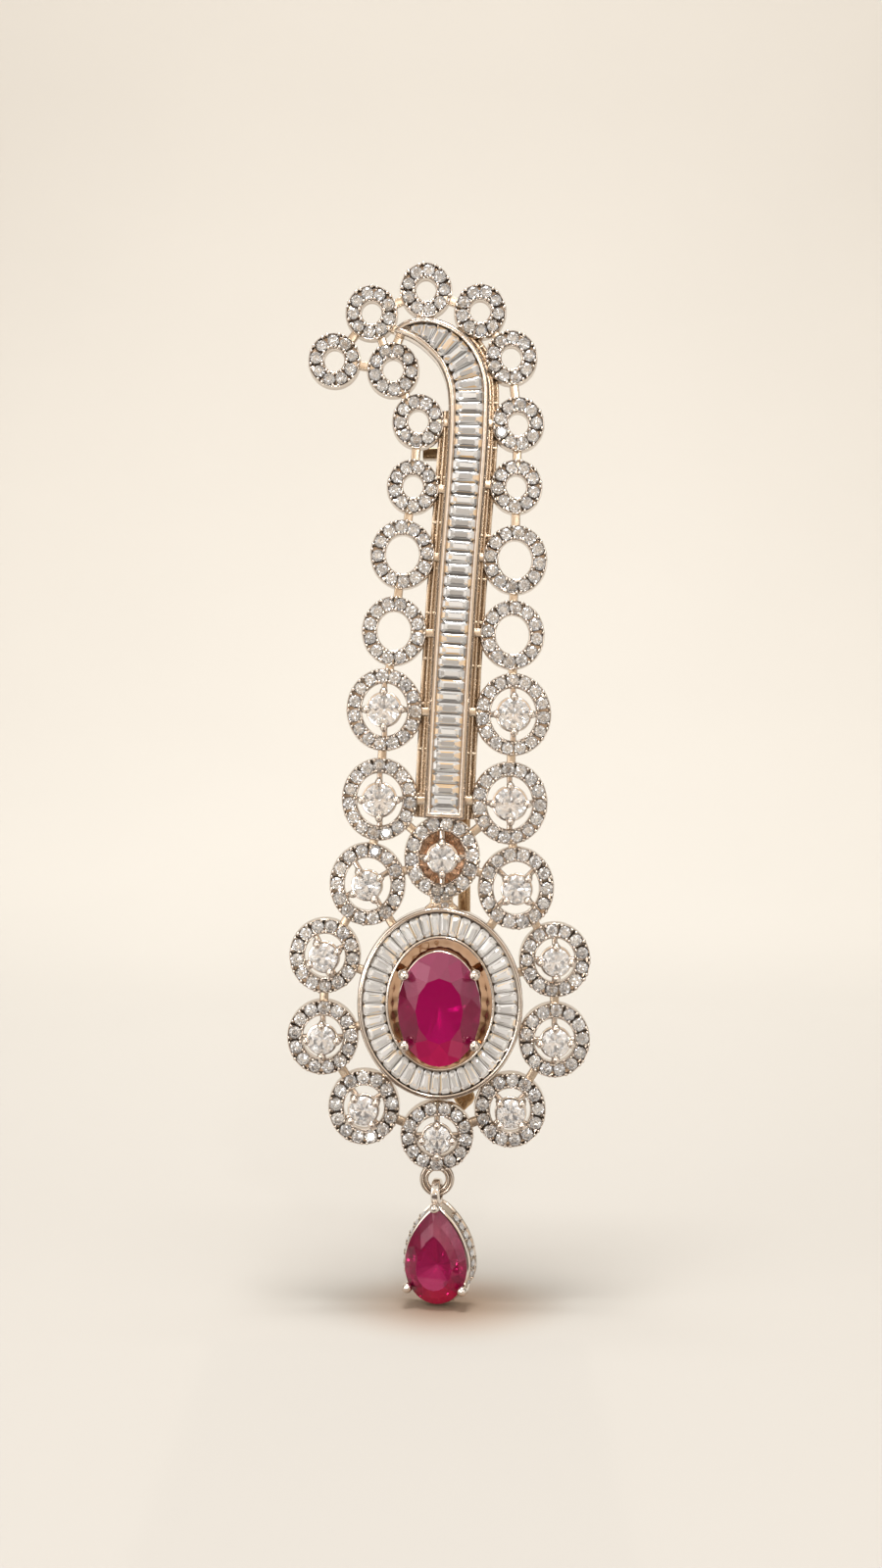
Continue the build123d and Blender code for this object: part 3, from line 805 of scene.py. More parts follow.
@dataclass
class Layout:
    """Where every ring stands: along the feather, round its tip and round the halo."""

    line: CentreLine
    halo_wide: float = HALO_WIDE
    halo_tall: float = HALO_TALL
    beside: tuple[tuple[str, float, Side, float, RingKind], ...] = (
        ("foot_left", 0.030, Side.LEFT, 0.82, RingKind.BIG),
        ("foot_right", 0.034, Side.RIGHT, 0.80, RingKind.BIG),
        ("waist_left", 0.196, Side.LEFT, 0.78, RingKind.BIG),
        ("waist_right", 0.200, Side.RIGHT, 0.71, RingKind.BIG),
        ("lower_left", 0.342, Side.LEFT, 0.89, RingKind.OPEN),
        ("lower_right", 0.349, Side.RIGHT, 0.74, RingKind.OPEN),
        ("upper_left", 0.484, Side.LEFT, 0.49, RingKind.OPEN),
        ("upper_right", 0.490, Side.RIGHT, 0.42, RingKind.OPEN),
        ("throat_left", 0.611, Side.LEFT, 0.63, RingKind.SMALL),
        ("throat_right", 0.626, Side.RIGHT, 0.60, RingKind.SMALL),
        ("neck_left", 0.737, Side.LEFT, 0.49, RingKind.SMALL),
        ("neck_right", 0.738, Side.RIGHT, 0.37, RingKind.SMALL),
        ("shoulder", 0.830, Side.RIGHT, 0.17, RingKind.SMALL),
        ("crest_right", 0.891, Side.RIGHT, 0.18, RingKind.SMALL),
        ("crest", 0.954, Side.RIGHT, 0.23, RingKind.SMALL),
    )
    round_tip: tuple[tuple[str, float, float], ...] = (
        ("curl_above", 137.2, 0.44),
        ("curl_below", -91.6, 1.07),
        ("curl_end", -155.8, 4.83),
    )
    round_halo: tuple[tuple[str, float, float, RingKind, float], ...] = (
        ("heart", 89.2, 0.91, RingKind.HEART, 0),
        ("halo_1_left", 121.6, 0.77, RingKind.HEART, 30),
        ("halo_1_right", 56.2, 0.68, RingKind.HEART, 45),
        ("halo_2_left", 158.0, 0.49, RingKind.ROUND, 25),
        ("halo_2_right", 20.1, 0.29, RingKind.ROUND, 0),
        ("halo_3_left", -163.3, 0.36, RingKind.ROUND, 0),
        ("halo_3_right", -18.4, 0.10, RingKind.ROUND, 0),
        ("halo_4_left", -125.9, 0.26, RingKind.ROUND, 35),
        ("halo_4_right", -57.0, 0.05, RingKind.ROUND, 45),
        ("halo_foot", -91.3, 0.34, RingKind.FOOT, 0),
    )
    chains: tuple[tuple[str, ...], ...] = (
        ("curl_end", "curl_above", "crest", "crest_right", "shoulder", "neck_right", "throat_right",
         "upper_right", "lower_right", "waist_right", "foot_right", "halo_1_right", "halo_2_right",
         "halo_3_right", "halo_4_right", "halo_foot", "halo_4_left", "halo_3_left", "halo_2_left",
         "halo_1_left", "foot_left", "waist_left", "lower_left", "upper_left", "throat_left",
         "neck_left", "curl_below", "curl_end"),
        ("curl_below", "curl_above"),
        ("foot_left", "heart", "foot_right"),
        ("halo_1_left", "heart", "halo_1_right"),
    )
    rings: dict[str, Ring] = field(init=False)

    def __post_init__(self) -> None:
        """Places the rings.

        Formula: a ring's middle lies from the feather's edge, the tip or the halo's edge by its gap
        and by half its own size in that direction.
        """
        self.rings = {}
        for name, share, side, gap, kind in self.beside:
            point, right = self.line.at(share)
            angle = np.arctan2(*(right * side.value)[::-1])
            self.place(name, point, angle, self.line.half_width(share) + gap, kind)
        for name, degrees, gap in self.round_tip:
            self.place(name, self.line.points[-1], np.radians(degrees), gap, RingKind.SMALL)
        for name, degrees, gap, kind, turn in self.round_halo:
            angle = np.radians(degrees)
            gap += reach(self.halo_wide, self.halo_tall, angle)
            self.place(name, np.zeros(2), angle, gap, kind, turn)

    def place(self, name: str, at: Array, angle: float, gap: float, kind: RingKind, turn: float = 0) -> None:
        """Places a ring.

        Args:
            name: Its name.
            at: The point from which it is placed.
            angle: The direction from there to its middle.
            gap: How far its edge is from the point.
            kind: Its kind.
            turn: The turn of its solitaire's claws, in degrees.
        """
        apart = gap + reach(kind.value.wide, kind.value.tall, angle)
        x, z = at + apart * ray(angle)
        self.rings[name] = Ring(name, float(x), float(z), kind, turn)

    @property
    def solitaires(self) -> list[Ring]:
        """The rings that hold a solitaire."""
        return [ring for ring in self.rings.values() if ring.kind.value.stone]


def brilliant(mains: int = 8) -> Shell:
    """A round cut stone of diameter one: table, stars, kites, upper girdle and pavilion.

    Formula: corners on circles at equal angles. The table and the girdle's first corners share their
    angles, and the crown breaks and the girdle's other corners lie half a step further.

    Args:
        mains: The count of kites.

    Returns:
        The closed shell, with its girdle at level nought.
    """
    table, crown_break, crown, pavilion = 0.57, 0.8, 0.155, 0.41
    on, off = turns(mains), turns(mains) + np.pi / mains
    break_level = crown * (1 - crown_break * np.cos(np.pi / mains)) / (1 - table)
    points = np.concatenate([
        lifted(ray(on) * table / 2, crown), lifted(ray(off) * crown_break / 2, break_level),
        lifted(ray(on) / 2, 0), lifted(ray(off) / 2, 0), [[0, 0, -pavilion]],
    ])
    k, n = np.arange(mains), mains
    after, before, culet = (k + 1) % n, (k - 1) % n, np.full(n, 4 * n)
    kites = np.stack([k, n + before, 2 * n + k, n + k], -1)
    sides = [(k, n + k, after), (n + k, 2 * n + k, 3 * n + k), (n + k, 3 * n + k, 2 * n + after),
             (culet, 3 * n + k, 2 * n + k), (culet, 2 * n + after, 3 * n + k)]
    return Shell(points, [k[None], kites, np.concatenate([np.stack(side, -1) for side in sides])]).outward()


def set_stones(centres: Array, sizes: Array, facing: Array, seed: Seed) -> Shell:
    """Round stones, each with a slight tilt and its own turn.

    Formula: a stone's axes are its facing direction, changed by a small seeded amount, and two
    directions across it, turned by a seeded angle. Each corner is the sum of its shares of the axes.

    Args:
        centres: The middles of the girdles, shaped (stones, 3).
        sizes: The diameters.
        facing: The directions of the tables, shaped (stones, 3) or (3,).
        seed: The seed of the tilts and turns.

    Returns:
        The stones as one shell.
    """
    chance, tilt = np.random.default_rng(seed), 0.05
    count = len(centres)
    front = unit(facing + chance.normal(0, tilt, (count, 3)))
    helper = np.where(np.abs(front[:, :1]) < 0.8, [[1.0, 0.0, 0.0]], [[0.0, 1.0, 0.0]])
    across = unit(np.cross(helper, front))
    up = np.cross(front, across)
    turn = chance.uniform(0, 2 * np.pi, count)[:, None]
    first, second = across * np.cos(turn) + up * np.sin(turn), up * np.cos(turn) - across * np.sin(turn)
    cut = brilliant()
    corners = cut.points[None] * sizes[:, None, None]
    axes = np.stack([first, second, front], 1)
    return cut.stamped(corners @ axes + centres[:, None])


@dataclass
class Rings(Assembly):
    """The pave rings: bands, stones, beads and the links between them."""

    layout: Layout
    depth: float = 2.0
    edge: float = 0.16
    bed: float = 0.95
    stone: float = 1.58
    crowding: float = 0.93
    stone_level: float = 1.84
    bead: float = 0.235
    bead_level: float = 2.04
    outer_beads: tuple[float, float] = (0.3, 0.31)
    inner_beads: tuple[float, float] = (0.29, 0.2)
    prong: float = 0.42
    link_width: float = 1.1
    link_low: float = 0.35
    link_high: float = 1.45
    link_sunk: float = 0.3
    tip_share: float = 0.985
    neck_waist: float = 1.42
    neck_swell: float = 0.75
    neck_high: float = 1.72
    steps: int = 72
    cup_steps: int = 112
    flutes: int = 14
    flute_depth: float = 0.12

    def band_section(self, band: float) -> Array:
        """A band's section as (inset, level): walls, two thin raised edges and the sunk bed.

        Args:
            band: The band's width.

        Returns:
            The section's points, shaped (points, 2).
        """
        top, wall = self.depth - 0.04, self.edge
        corners = [
            (0.05, 0.0), (0.0, 0.3), (0.0, 1.1), (0.1, top - 0.12), (wall * 0.9, top),
            (wall * 1.6, top - 0.1), (wall * 2, self.bed), (band - wall * 2, self.bed),
            (band - wall * 1.4, top - 0.1), (band - wall * 0.6, top), (band, top - 0.12), (band, 0.3),
            (band - 0.05, 0.0),
        ]
        return rounded(corners, 0.07, 2)

    def bands(self) -> Shell:
        """All bands.

        Returns:
            One closed shell for each band.
        """
        return joined(
            oval_band((ring.x, ring.z), ring.kind.value.wide, ring.kind.value.tall,
                      self.band_section(ring.kind.value.band), self.steps)
            for ring in self.layout.rings.values()
        )

    def angles(self, ring: Ring, shift: float = 0.0) -> Array:
        """The angles of a ring's stones.

        Formula: equal steps from the top, after a start that depends on the ring's place.

        Args:
            ring: The ring.
            shift: The share of a step.

        Returns:
            One angle for each stone.
        """
        pave = ring.kind.value.pave
        first = np.pi / 2 + (ring.x * 0.37 + ring.z * 0.21) % (2 * np.pi / pave)
        return first + (np.arange(pave) + shift) * 2 * np.pi / pave

    def stones(self) -> Shell:
        """The pave stones: on each band's middle line at equal steps.

        Returns:
            The stones as one shell.
        """
        chance = np.random.default_rng(Seed.PAVE_SIZES)
        centres, sizes = [], []
        for ring in self.layout.rings.values():
            size = ring.kind.value
            at, _ = oval_points(size.wide, size.tall, size.band / 2, self.angles(ring))
            step = np.pi * (size.wide + size.tall - 2 * size.band) / 2 / size.pave
            centres.append(at + ring.centre)
            sizes.append(min(self.stone, step * self.crowding) * chance.uniform(0.93, 1.03, size.pave))
        flat = np.concatenate(centres)
        return set_stones(lifted(flat, self.stone_level), np.concatenate(sizes), FRONT, Seed.PAVE_STONES)

    def beads(self) -> Shell:
        """The beads that hold the stones: a pair inside and a pair outside each gap between stones.

        One large bead stands on the ring inside the curl.

        Returns:
            The beads as one shell.
        """
        chance = np.random.default_rng(Seed.PAVE_BEADS)
        centres = []
        for ring in self.layout.rings.values():
            size = ring.kind.value
            from_inside, inner_apart = self.inner_beads
            for inset, apart in (self.outer_beads, (size.band - from_inside, inner_apart)):
                at, out = oval_points(size.wide, size.tall, inset, self.angles(ring, 0.5))
                centres += [at + right_of(out) * way * apart + ring.centre for way in (1, -1)]
        flat = np.concatenate(centres)
        flat += chance.normal(0, 0.025, flat.shape)
        level = self.bead_level + chance.normal(0, 0.02, len(flat))
        radius = self.bead * chance.uniform(0.88, 1.12, len(flat))
        curl, size = self.layout.rings["curl_below"], RingKind.SMALL.value
        prong = np.array([[curl.x, curl.z + size.tall / 2 - size.band + 0.15, self.bead_level + 0.1]])
        return joined([ball(lifted(flat, level), radius), ball(prong, self.prong, rows=7, cols=14)])

    def links(self) -> Shell:
        """Short links: ring to ring, ring to feather, ring to tip and ring to halo.

        Returns:
            One closed shell for each link.
        """
        line, rings = self.layout.line, self.layout.rings
        starts, ends = [], []
        for chain in self.layout.chains:
            for one, other in zip(chain, chain[1:]):
                starts.append(rings[one].band_point(rings[other].centre))
                ends.append(rings[other].band_point(rings[one].centre))
        for name, share, side, _, _ in self.layout.beside:
            edge = line.beside(share, side.value * (line.half_width(share) - 0.36))
            starts.append(rings[name].band_point(edge))
            ends.append(edge)
        for name, _, _ in self.layout.round_tip[:2]:
            starts.append(rings[name].band_point(line.points[-1]))
            ends.append(line.at(self.tip_share)[0])
        for name, degrees, _, _, _ in self.layout.round_halo:
            angle = np.radians(degrees)
            edge = reach(self.layout.halo_wide, self.layout.halo_tall, angle)
            starts.append(rings[name].band_point(np.zeros(2)))
            ends.append((edge - self.link_sunk) * ray(angle))
        half = self.link_width / 2
        section = slab(-half, half, self.link_low, self.link_high, 0.2)
        return bars(np.array(starts), np.array(ends), section)

    def neck(self) -> tuple[Shell, Shell, Shell]:
        """The waisted neck between the heart ring and the halo, with its small stones and beads.

        Formula: the neck's half width falls from its ends to its waist with a cosine of the height.

        Returns:
            The neck, its stones and its beads.
        """
        heart = self.layout.rings["heart"]
        top = heart.band_point(np.zeros(2))
        foot = np.array([top[0], self.layout.halo_tall / 2 - self.link_sunk])
        share = np.linspace(0, 1, 12)
        half = self.neck_waist + self.neck_swell * (0.5 + 0.5 * np.cos(2 * np.pi * share)) ** 2
        path = top + (foot - top) * share[:, None]
        box = slab(-1, 1, self.link_low, self.neck_high, 0.2)
        sections = lifted(half[:, None, None] * box[:, :1], box[:, 1])
        plate = tube(carried(sections, path, np.tile([1.0, 0.0], (len(path), 1))))
        spots = np.array([(-0.62, 0.1), (0.5, 0.42), (0.42, -0.72), (-0.5, -1.1)]) + (top + foot) / 2
        stones = set_stones(lifted(spots, 1.98), np.array([0.98, 0.9, 0.98, 0.86]), FRONT, Seed.NECK_STONES)
        around = [(-1.2, 0.35), (-0.1, 0.9), (1.1, 0.1), (-0.1, -0.35), (-1.15, -0.6), (1.05, -0.35),
                  (0.02, -1.3), (-1.05, -1.5), (0.98, -1.35)]
        return plate, stones, ball(lifted(np.array(around) + (top + foot) / 2, 1.85), 0.2)

    def heart_cup(self) -> Shell:
        """The cup behind the heart ring's hole, with shallow flutes.

        Formula: loops whose half sizes shrink from the band's inner wall to the middle while the
        level falls. A cosine of the angle waves the wall.

        Returns:
            The cup.
        """
        heart, size = self.layout.rings["heart"], RingKind.HEART.value
        angle, loops = turns(self.cup_steps), []
        for inset, level, wave in ((-0.3, 1.3, 0.0), (0.15, 1.15, 0.4), (0.75, 0.75, 1.0), (1.3, 0.55, 0.3),
                                   (2.3, 0.45, 0.0), (2.3, 0.15, 0.0), (-0.3, 0.15, 0.0)):
            waved = size.band + inset + self.flute_depth * wave * np.cos(self.flutes * angle)
            flat, _ = oval_points(size.wide, size.tall, waved, angle)
            loops.append(lifted(flat + heart.centre, level))
        return tube(np.stack(loops), ring=True)

    def pieces(self) -> list[Piece]:
        """The bands, the links with the neck, the heart ring's cup, the beads and the pave stones.

        Returns:
            The five pieces.
        """
        plate, neck_stones, neck_beads = self.neck()
        return [
            Piece("ring_bands", self.bands(), Finish.WHITE_GOLD, FRAME),
            Piece("ring_links", joined([self.links(), plate]), Finish.SOFT_GOLD),
            Piece("heart_cup", self.heart_cup(), Finish.WARM_GOLD),
            Piece("pave_beads", joined([self.beads(), neck_beads]), Finish.WHITE_GOLD, crease=80),
            Piece("pave_diamonds", joined([self.stones(), neck_stones]), Finish.PAVE_CUT, crease=0),
        ]


@dataclass
class Baguettes:
    """Step cut stones: how deep their steps are, how they stand in their bed and their cut corners."""

    crown: float = 0.24
    girdle: float = 0.12
    pavilion: float = 0.66
    recess: float = 0.2
    gap: float = 0.055
    bed_gap: float = 0.1
    corner: float = 0.1

    def stones(self, corners: Array, top: float) -> Shell:
        """Stones with two crown steps, a table and two pavilion steps.

        Formula: each step is the girdle's outline with every corner moved by shares of the way to
        the corners beside it, at the step's level.

        Args:
            corners: The girdles' corners, shaped (stones, 4, 2), in order round each stone.
            top: The level of the tables.

        Returns:
            One closed shell for each stone.
        """
        chance = np.random.default_rng(Seed.BAGUETTES)
        girdle = top - self.crown
        keel = girdle - self.girdle - self.pavilion
        steps = np.array([
            (0.24, 0.47, keel), (0.11, 0.22, keel + 0.55 * self.pavilion), (0.0, 0.0, girdle - self.girdle),
            (0.0, 0.0, girdle), (0.11, 0.15, girdle + 0.6 * self.crown),
            (0.13, 0.18, girdle + 0.66 * self.crown), (0.24, 0.31, top),
        ])
        end, side = steps[:, :1], steps[:, 1:2]
        cut_end, cut_side = end + self.corner * (1 - 2 * end), side + 2 * self.corner * (1 - 2 * side)
        across = [cut_end, 1 - cut_end, 1 - end, 1 - end, 1 - cut_end, cut_end, end, end]
        along = [side, side, cut_side, 1 - cut_side, 1 - side, 1 - side, 1 - cut_side, cut_side]
        across, along = (np.concatenate(shares, -1)[..., None] for shares in (across, along))
        a, b, c, d = (corners[:, None, None, k] for k in range(4))
        low, high = a + (b - a) * across, d + (c - d) * across
        flat = low + (high - low) * along
        lift = chance.normal(0, 0.02, (len(corners), 1, 1))
        tip = chance.normal(0, 0.012, (len(corners), 1, 1, 2))
        middle = corners.mean(axis=1)[:, None, None]
        return tube(lifted(flat, steps[:, 2:] + lift + ((flat - middle) * tip).sum(-1)))


@dataclass
class Feather(Assembly):
    """The feather: its channel with a double rim, its baguettes and the rails of its gallery."""

    line: CentreLine
    height: float = 3.2
    rim: float = 0.72
    pitch: float = 1.45
    floor: float = 1.3
    stand_off: float = 0.75
    rail: float = 0.7
    rail_low: float = 0.15
    post: float = 0.42
    post_pitch: float = 5.2
    rail_stops: tuple[float, float] = (0.76, 0.9)
    bed_stop: float = 0.968
    floor_stop: float = 0.984
    tip_half: float = 0.012
    eased: tuple[int, int, int] = (50, 80, 24)
    cut: Baguettes = field(default_factory=Baguettes)

    def outline(self, inset: float, level: float, count: int = 110) -> Array:
        """The feather's outline moved inwards, as a loop that runs up one side and down the other.

        Formula: a point is the centre line's point plus the direction across times the half width
        less the inset. The loop ends where the half width is the inset, so both sides meet there.

        Args:
            inset: How far inside the feather's edge.
            level: The loop's level.
            count: The points of one side.

        Returns:
            The loop, shaped (2 count, 3).
        """
        start, stop = inset / self.line.total, self.line.last_share(max(inset, 0.02))
        t = np.linspace(0, 1, count)
        share = start + (stop - start) * (1 - (1 - t) ** 1.6)
        half = np.maximum(self.line.half_width(share) - inset, 0.0)
        half[-1] = self.tip_half
        inner = self.line.beside(share, -half)
        part = slice(self.eased[0], self.eased[1])
        for _ in range(self.eased[2]):
            inner[part] = (np.roll(inner, 1, axis=0) + np.roll(inner, -1, axis=0))[part] / 2
        return lifted(np.concatenate([self.line.beside(share, half), inner[::-1]]), level)

    def channel(self) -> Shell:
        """The channel's wall with a broad outer rim, a groove, a thin inner ridge and its floor.

        Formula: each point of the section, as (inset, level), gives a loop of the feather's outline.
        The floor is a flat box, carried along the centre line with the feather's half width.

        Returns:
            The wall and the floor.
        """
        top, rim = self.height, self.rim
        section = [
            (0.06, 0.0), (0.0, 0.25), (0.0, top - 0.5), (0.03, top - 0.34), (0.13, top - 0.2),
            (0.26, top - 0.08), (0.34, top - 0.1), (0.37, top - 0.36), (0.46, top - 0.36),
            (0.49, top - 0.03), (0.54, top), (0.63, top - 0.02), (rim - 0.02, top - 0.1), (rim, top - 0.3),
            (rim, self.floor), (rim, 0.0),
        ]
        walls = tube(np.stack([self.outline(inset, level) for inset, level in section]), ring=True)
        share = np.linspace(0.2 / self.line.total, self.floor_stop, 90)
        half = np.maximum(self.line.half_width(share) - 0.4, 0.1)
        across = np.stack([-half, half, half, -half], -1)[..., None]
        sections = lifted(across, [0.1, 0.1, self.floor, self.floor])
        return joined([walls, tube(carried(sections, *self.line.at(share)))])

    def stones(self) -> Shell:
        """The baguettes across the feather, from its foot to the tapered tip.

        Formula: a stone lies between two shares of the line's length and the two walls.

        Returns:
            The baguettes as one shell.
        """
        count = round(self.line.total * self.bed_stop / self.pitch)
        space = self.cut.gap / self.line.total / 2
        low = self.bed_stop * np.arange(count) / count + space
        high = self.bed_stop * (np.arange(count) + 1) / count - space
        half_low, half_high = (self.line.half_width(at) - self.rim - self.cut.bed_gap for at in (low, high))
        around = ((low, -half_low), (low, half_low), (high, half_high), (high, -half_high))
        corners = np.stack([self.line.beside(*at) for at in around], axis=1)
        return self.cut.stones(corners, self.height - self.cut.recess)

    def rails(self) -> Shell:
        """The gallery: a wall beside each side of the feather, with two ridges along it and posts.

        Formula: a section of (distance from the feather's edge, level), carried along that edge.

        Returns:
            The two walls and their posts.
        """
        low, out = self.rail_low, self.stand_off + self.rail - 0.2
        high = low + self.rail
        section = rounded([
            (-0.2, low), (out, low), (out, high), (out - 0.22, high + 0.08), (out - 0.4, high),
            (out - 0.44, high - 0.4), (out - 0.54, high - 0.4), (out - 0.58, high + 0.3),
            (out - 0.7, high + 0.4), (out - 0.92, high + 0.36), (out - 0.98, high - 0.1),
            (0.05, high - 0.1), (0.05, high + 0.9), (-0.2, high + 0.9),
        ], 0.05, 2)
        half = self.post / 2
        shells, posts = [], []
        for side, stop in zip(Side, self.rail_stops):
            shares = np.linspace(0, stop, 120)
            at, right = self.line.at(shares)
            at = at + right * side.value * self.line.half_width(shares)[:, None]
            shells.append(tube(carried(section, at, right * side.value)))
            count = int(self.line.total * stop / self.post_pitch)
            share = (np.arange(count) + 0.5) / count * stop
            inner, outer = (self.line.beside(share, side.value * (self.line.half_width(share) + far - 0.1))
                            for far in (0, out))
            posts.append(bars(inner, outer, slab(-half, half, low + 0.1, high + 0.1, 0.12)))
        return joined(shells + posts)

    def pieces(self) -> list[Piece]:
        """The channel, the gallery and the baguettes.

        Returns:
            The three pieces.
        """
        return [
            Piece("feather_channel", self.channel(), Finish.WHITE_GOLD, FRAME, 50),
            Piece("feather_gallery", self.rails(), Finish.SOFT_GOLD, FRAME),
            Piece("feather_stones", self.stones(), Finish.STEP_CUT, ("feather_baguettes",), 0),
        ]


@dataclass
class Halo(Assembly):
    """The halo: two polished rims, the tapered baguettes between them and the cup of the ruby."""

    wide: float = HALO_WIDE
    tall: float = HALO_TALL
    height: float = 3.4
    rim: float = 0.6
    bed: float = 2.9
    inner_rim: float = 0.35
    floor: float = 1.5
    pitch: float = 1.26
    ledge: tuple[float, float, float] = (9.8, 13.2, 0.8)
    flutes: int = 26
    flute_depth: float = 0.13
    steps: int = 160
    cup_steps: int = 208
    cut: Baguettes = field(default_factory=Baguettes)

    def rims(self) -> Shell:
        """The body as one carried section: outer wall, grooved rim, bed, thin inner rim and back.

        Returns:
            The body.
        """
        top, rim = self.height, self.rim
        inner = rim + self.bed
        section = [
            (0.05, 0.0), (0.0, 0.25), (0.0, top - 0.4), (0.04, top - 0.22), (0.13, top - 0.1),
            (0.22, top - 0.08), (0.27, top - 0.34), (0.35, top - 0.34), (0.38, top - 0.02), (0.47, top),
            (0.58, top - 0.06), (rim, top - 0.25), (rim, self.floor), (inner, self.floor),
            (inner, top - 0.2), (inner + 0.05, top - 0.05), (inner + 0.18, top),
            (inner + self.inner_rim - 0.04, top - 0.04), (inner + self.inner_rim, top - 0.16),
            (inner + self.inner_rim + 0.3, 0.3), (inner + self.inner_rim, 0.0),
        ]
        return oval_band((0, 0), self.wide, self.tall, np.array(section), self.steps)

    def cup(self) -> Shell:
        """The cup's sloping wall with shallow flutes, and its ledge.

        Formula: between the inner rim and the ledge the oval's half sizes shrink evenly with the
        level. A cosine of the angle, times the flute depth, waves the wall halfway down.

        Returns:
            The cup.
        """
        lip = 2 * (self.rim + self.bed + self.inner_rim)
        ledge_wide, ledge_tall, ledge = self.ledge
        wide, tall, top, back = self.wide - lip, self.tall - lip, self.height, 0.1
        angle, loops = turns(self.cup_steps), []
        for share, level, wave in (
            (0.0, top - 0.14, 0.0), (0.08, top - 0.45, 0.3), (0.3, top - 0.9, 1.0), (0.75, 1.6, 1.0),
            (0.95, 1.0, 0.2), (1.0, ledge, 0.0), (1.45, ledge, 0.0), (1.45, back, 0.0), (0.2, back, 0.0),
            (-0.25, 1.6, 0.0),
        ):
            inset = self.flute_depth * wave * (0.5 + 0.5 * np.cos(self.flutes * angle))
            flat, _ = oval_points(
                wide + (ledge_wide - wide) * share, tall + (ledge_tall - tall) * share, inset, angle
            )
            loops.append(lifted(flat, level))
        return tube(np.stack(loops), ring=True)

    def stones(self) -> Shell:
        """The tapered baguettes, which stand like rays round the ruby.

        Formula: a stone lies between two angles and the two ovals of the bed.

        Returns:
            The baguettes as one shell.
        """
        outer = np.array([self.wide, self.tall]) / 2 - self.rim - self.cut.bed_gap
        thick = self.bed - 2 * self.cut.bed_gap
        inner = outer - thick
        count = round(np.pi * (outer[0] + inner[0] + thick / 2) / 2 / self.pitch / 2) * 4
        space = self.cut.gap / (np.pi * inner.sum()) * np.pi
        step = 2 * np.pi / count
        low, high = np.arange(count) * step + space, (np.arange(count) + 1) * step - space
        around = ((inner, low), (outer, low), (outer, high), (inner, high))
        corners = np.stack([oval * ray(angle) for oval, angle in around], axis=1)
        return self.cut.stones(corners, self.height - self.cut.recess)

    def pieces(self) -> list[Piece]:
        """The rims, the cup and the baguettes.

        Returns:
            The three pieces.
        """
        return [
            Piece("halo_rims", self.rims(), Finish.WHITE_GOLD, FRAME, 50),
            Piece("ruby_cup", self.cup(), Finish.WARM_GOLD, FRAME, 50),
            Piece("halo_stones", self.stones(), Finish.RAY_CUT, ("halo_baguettes",), 0),
        ]


@dataclass(frozen=True)
class Claw:
    """A claw: its wire, its round tip and how it leans out."""

    wire: float
    tip: float
    lean: float
    clearance: float = 0.06
    girdle: float = 0.16

    def beside(self) -> float:
        """How far the wire's middle stands outside the stone at the girdle."""
        return self.clearance + self.wire / 2 * float(np.sqrt(1 + self.lean**2))

    def foot_radius(self, stone: float, rise: float) -> float:
        """How far from a round stone's middle the wire stands, that much below the girdle."""
        return stone / 2 + self.beside() - self.lean * rise

    def shells(self, edge: Array, out: Array, level: float, foot: float) -> Shell:
        """Claws that rise beside the girdle and fold over the crown, with ball tips.

        Formula: the route goes straight from the foot to a shoulder above the girdle, bends there
        along a parabola and runs in to the tip. A circle is carried along it; its radius grows to the
        tip's near the end and then follows the tip's circle down to nought.

        Args:
            edge: Points of the girdle, shaped (claws, 2).
            out: The outward directions there.
            level: The girdle's level.
            foot: The level at which the claws start.

        Returns:
            One closed shell for each claw.
        """
        steepest = np.radians(44)
        rise, over = self.wire * 0.6, self.tip * 0.14
        tip_rise = (self.tip / 2 + self.clearance - over * np.sin(steepest)) / np.cos(steepest)
        low = np.array([self.beside() - self.lean * (level - foot), foot])
        shoulder = np.array([self.beside() + self.lean * rise, level + rise])
        tip = np.array([over, level + tip_rise + self.girdle / 2])
        before = shoulder + unit(low - shoulder) * 0.6 * np.linalg.norm(tip - shoulder)
        after = shoulder + (tip - shoulder) * 0.5
        t = np.linspace(0, 1, 9)[:, None]
        curve = before * (1 - t) ** 2 + shoulder * 2 * t * (1 - t) + after * t**2
        end = tip + unit(tip - after) * self.tip
        route = np.concatenate([low[None], curve, tip[None], end[None]])
        far = np.concatenate([[0], np.cumsum(np.linalg.norm(np.diff(route, axis=0), axis=1))])
        at_tip, half, wire = far[-2], self.tip / 2, self.wire / 2
        a = np.linspace(-0.72, 0.49, 9) * np.pi
        along = np.append(np.linspace(0, at_tip - half * 1.3, 6), at_tip + half * np.sin(a[a > -1.2]))
        ball_radius = np.sqrt(np.maximum(half**2 - (along - at_tip) ** 2, 1e-6))
        radius = np.maximum(np.where(along < at_tip, wire * 0.92, 0.0), ball_radius)
        radius = np.where(along < at_tip - half * 1.2, wire, radius)[:, None]
        line = np.stack([np.interp(along, far, route[:, k]) for k in (0, 1)], -1)
        way = unit(np.gradient(line, along, axis=0))
        round_wire = ray(turns(12))
        away = line[:, :1] - way[:, 1:] * radius * round_wire[:, 0]
        high = line[:, 1:] + way[:, :1] * radius * round_wire[:, 0]
        aside = radius * round_wire[:, 1]
        flat = (
            edge[:, None, None] + out[:, None, None] * away[..., None]
            - right_of(out)[:, None, None] * aside[..., None]
        )
        return tube(lifted(flat, high))


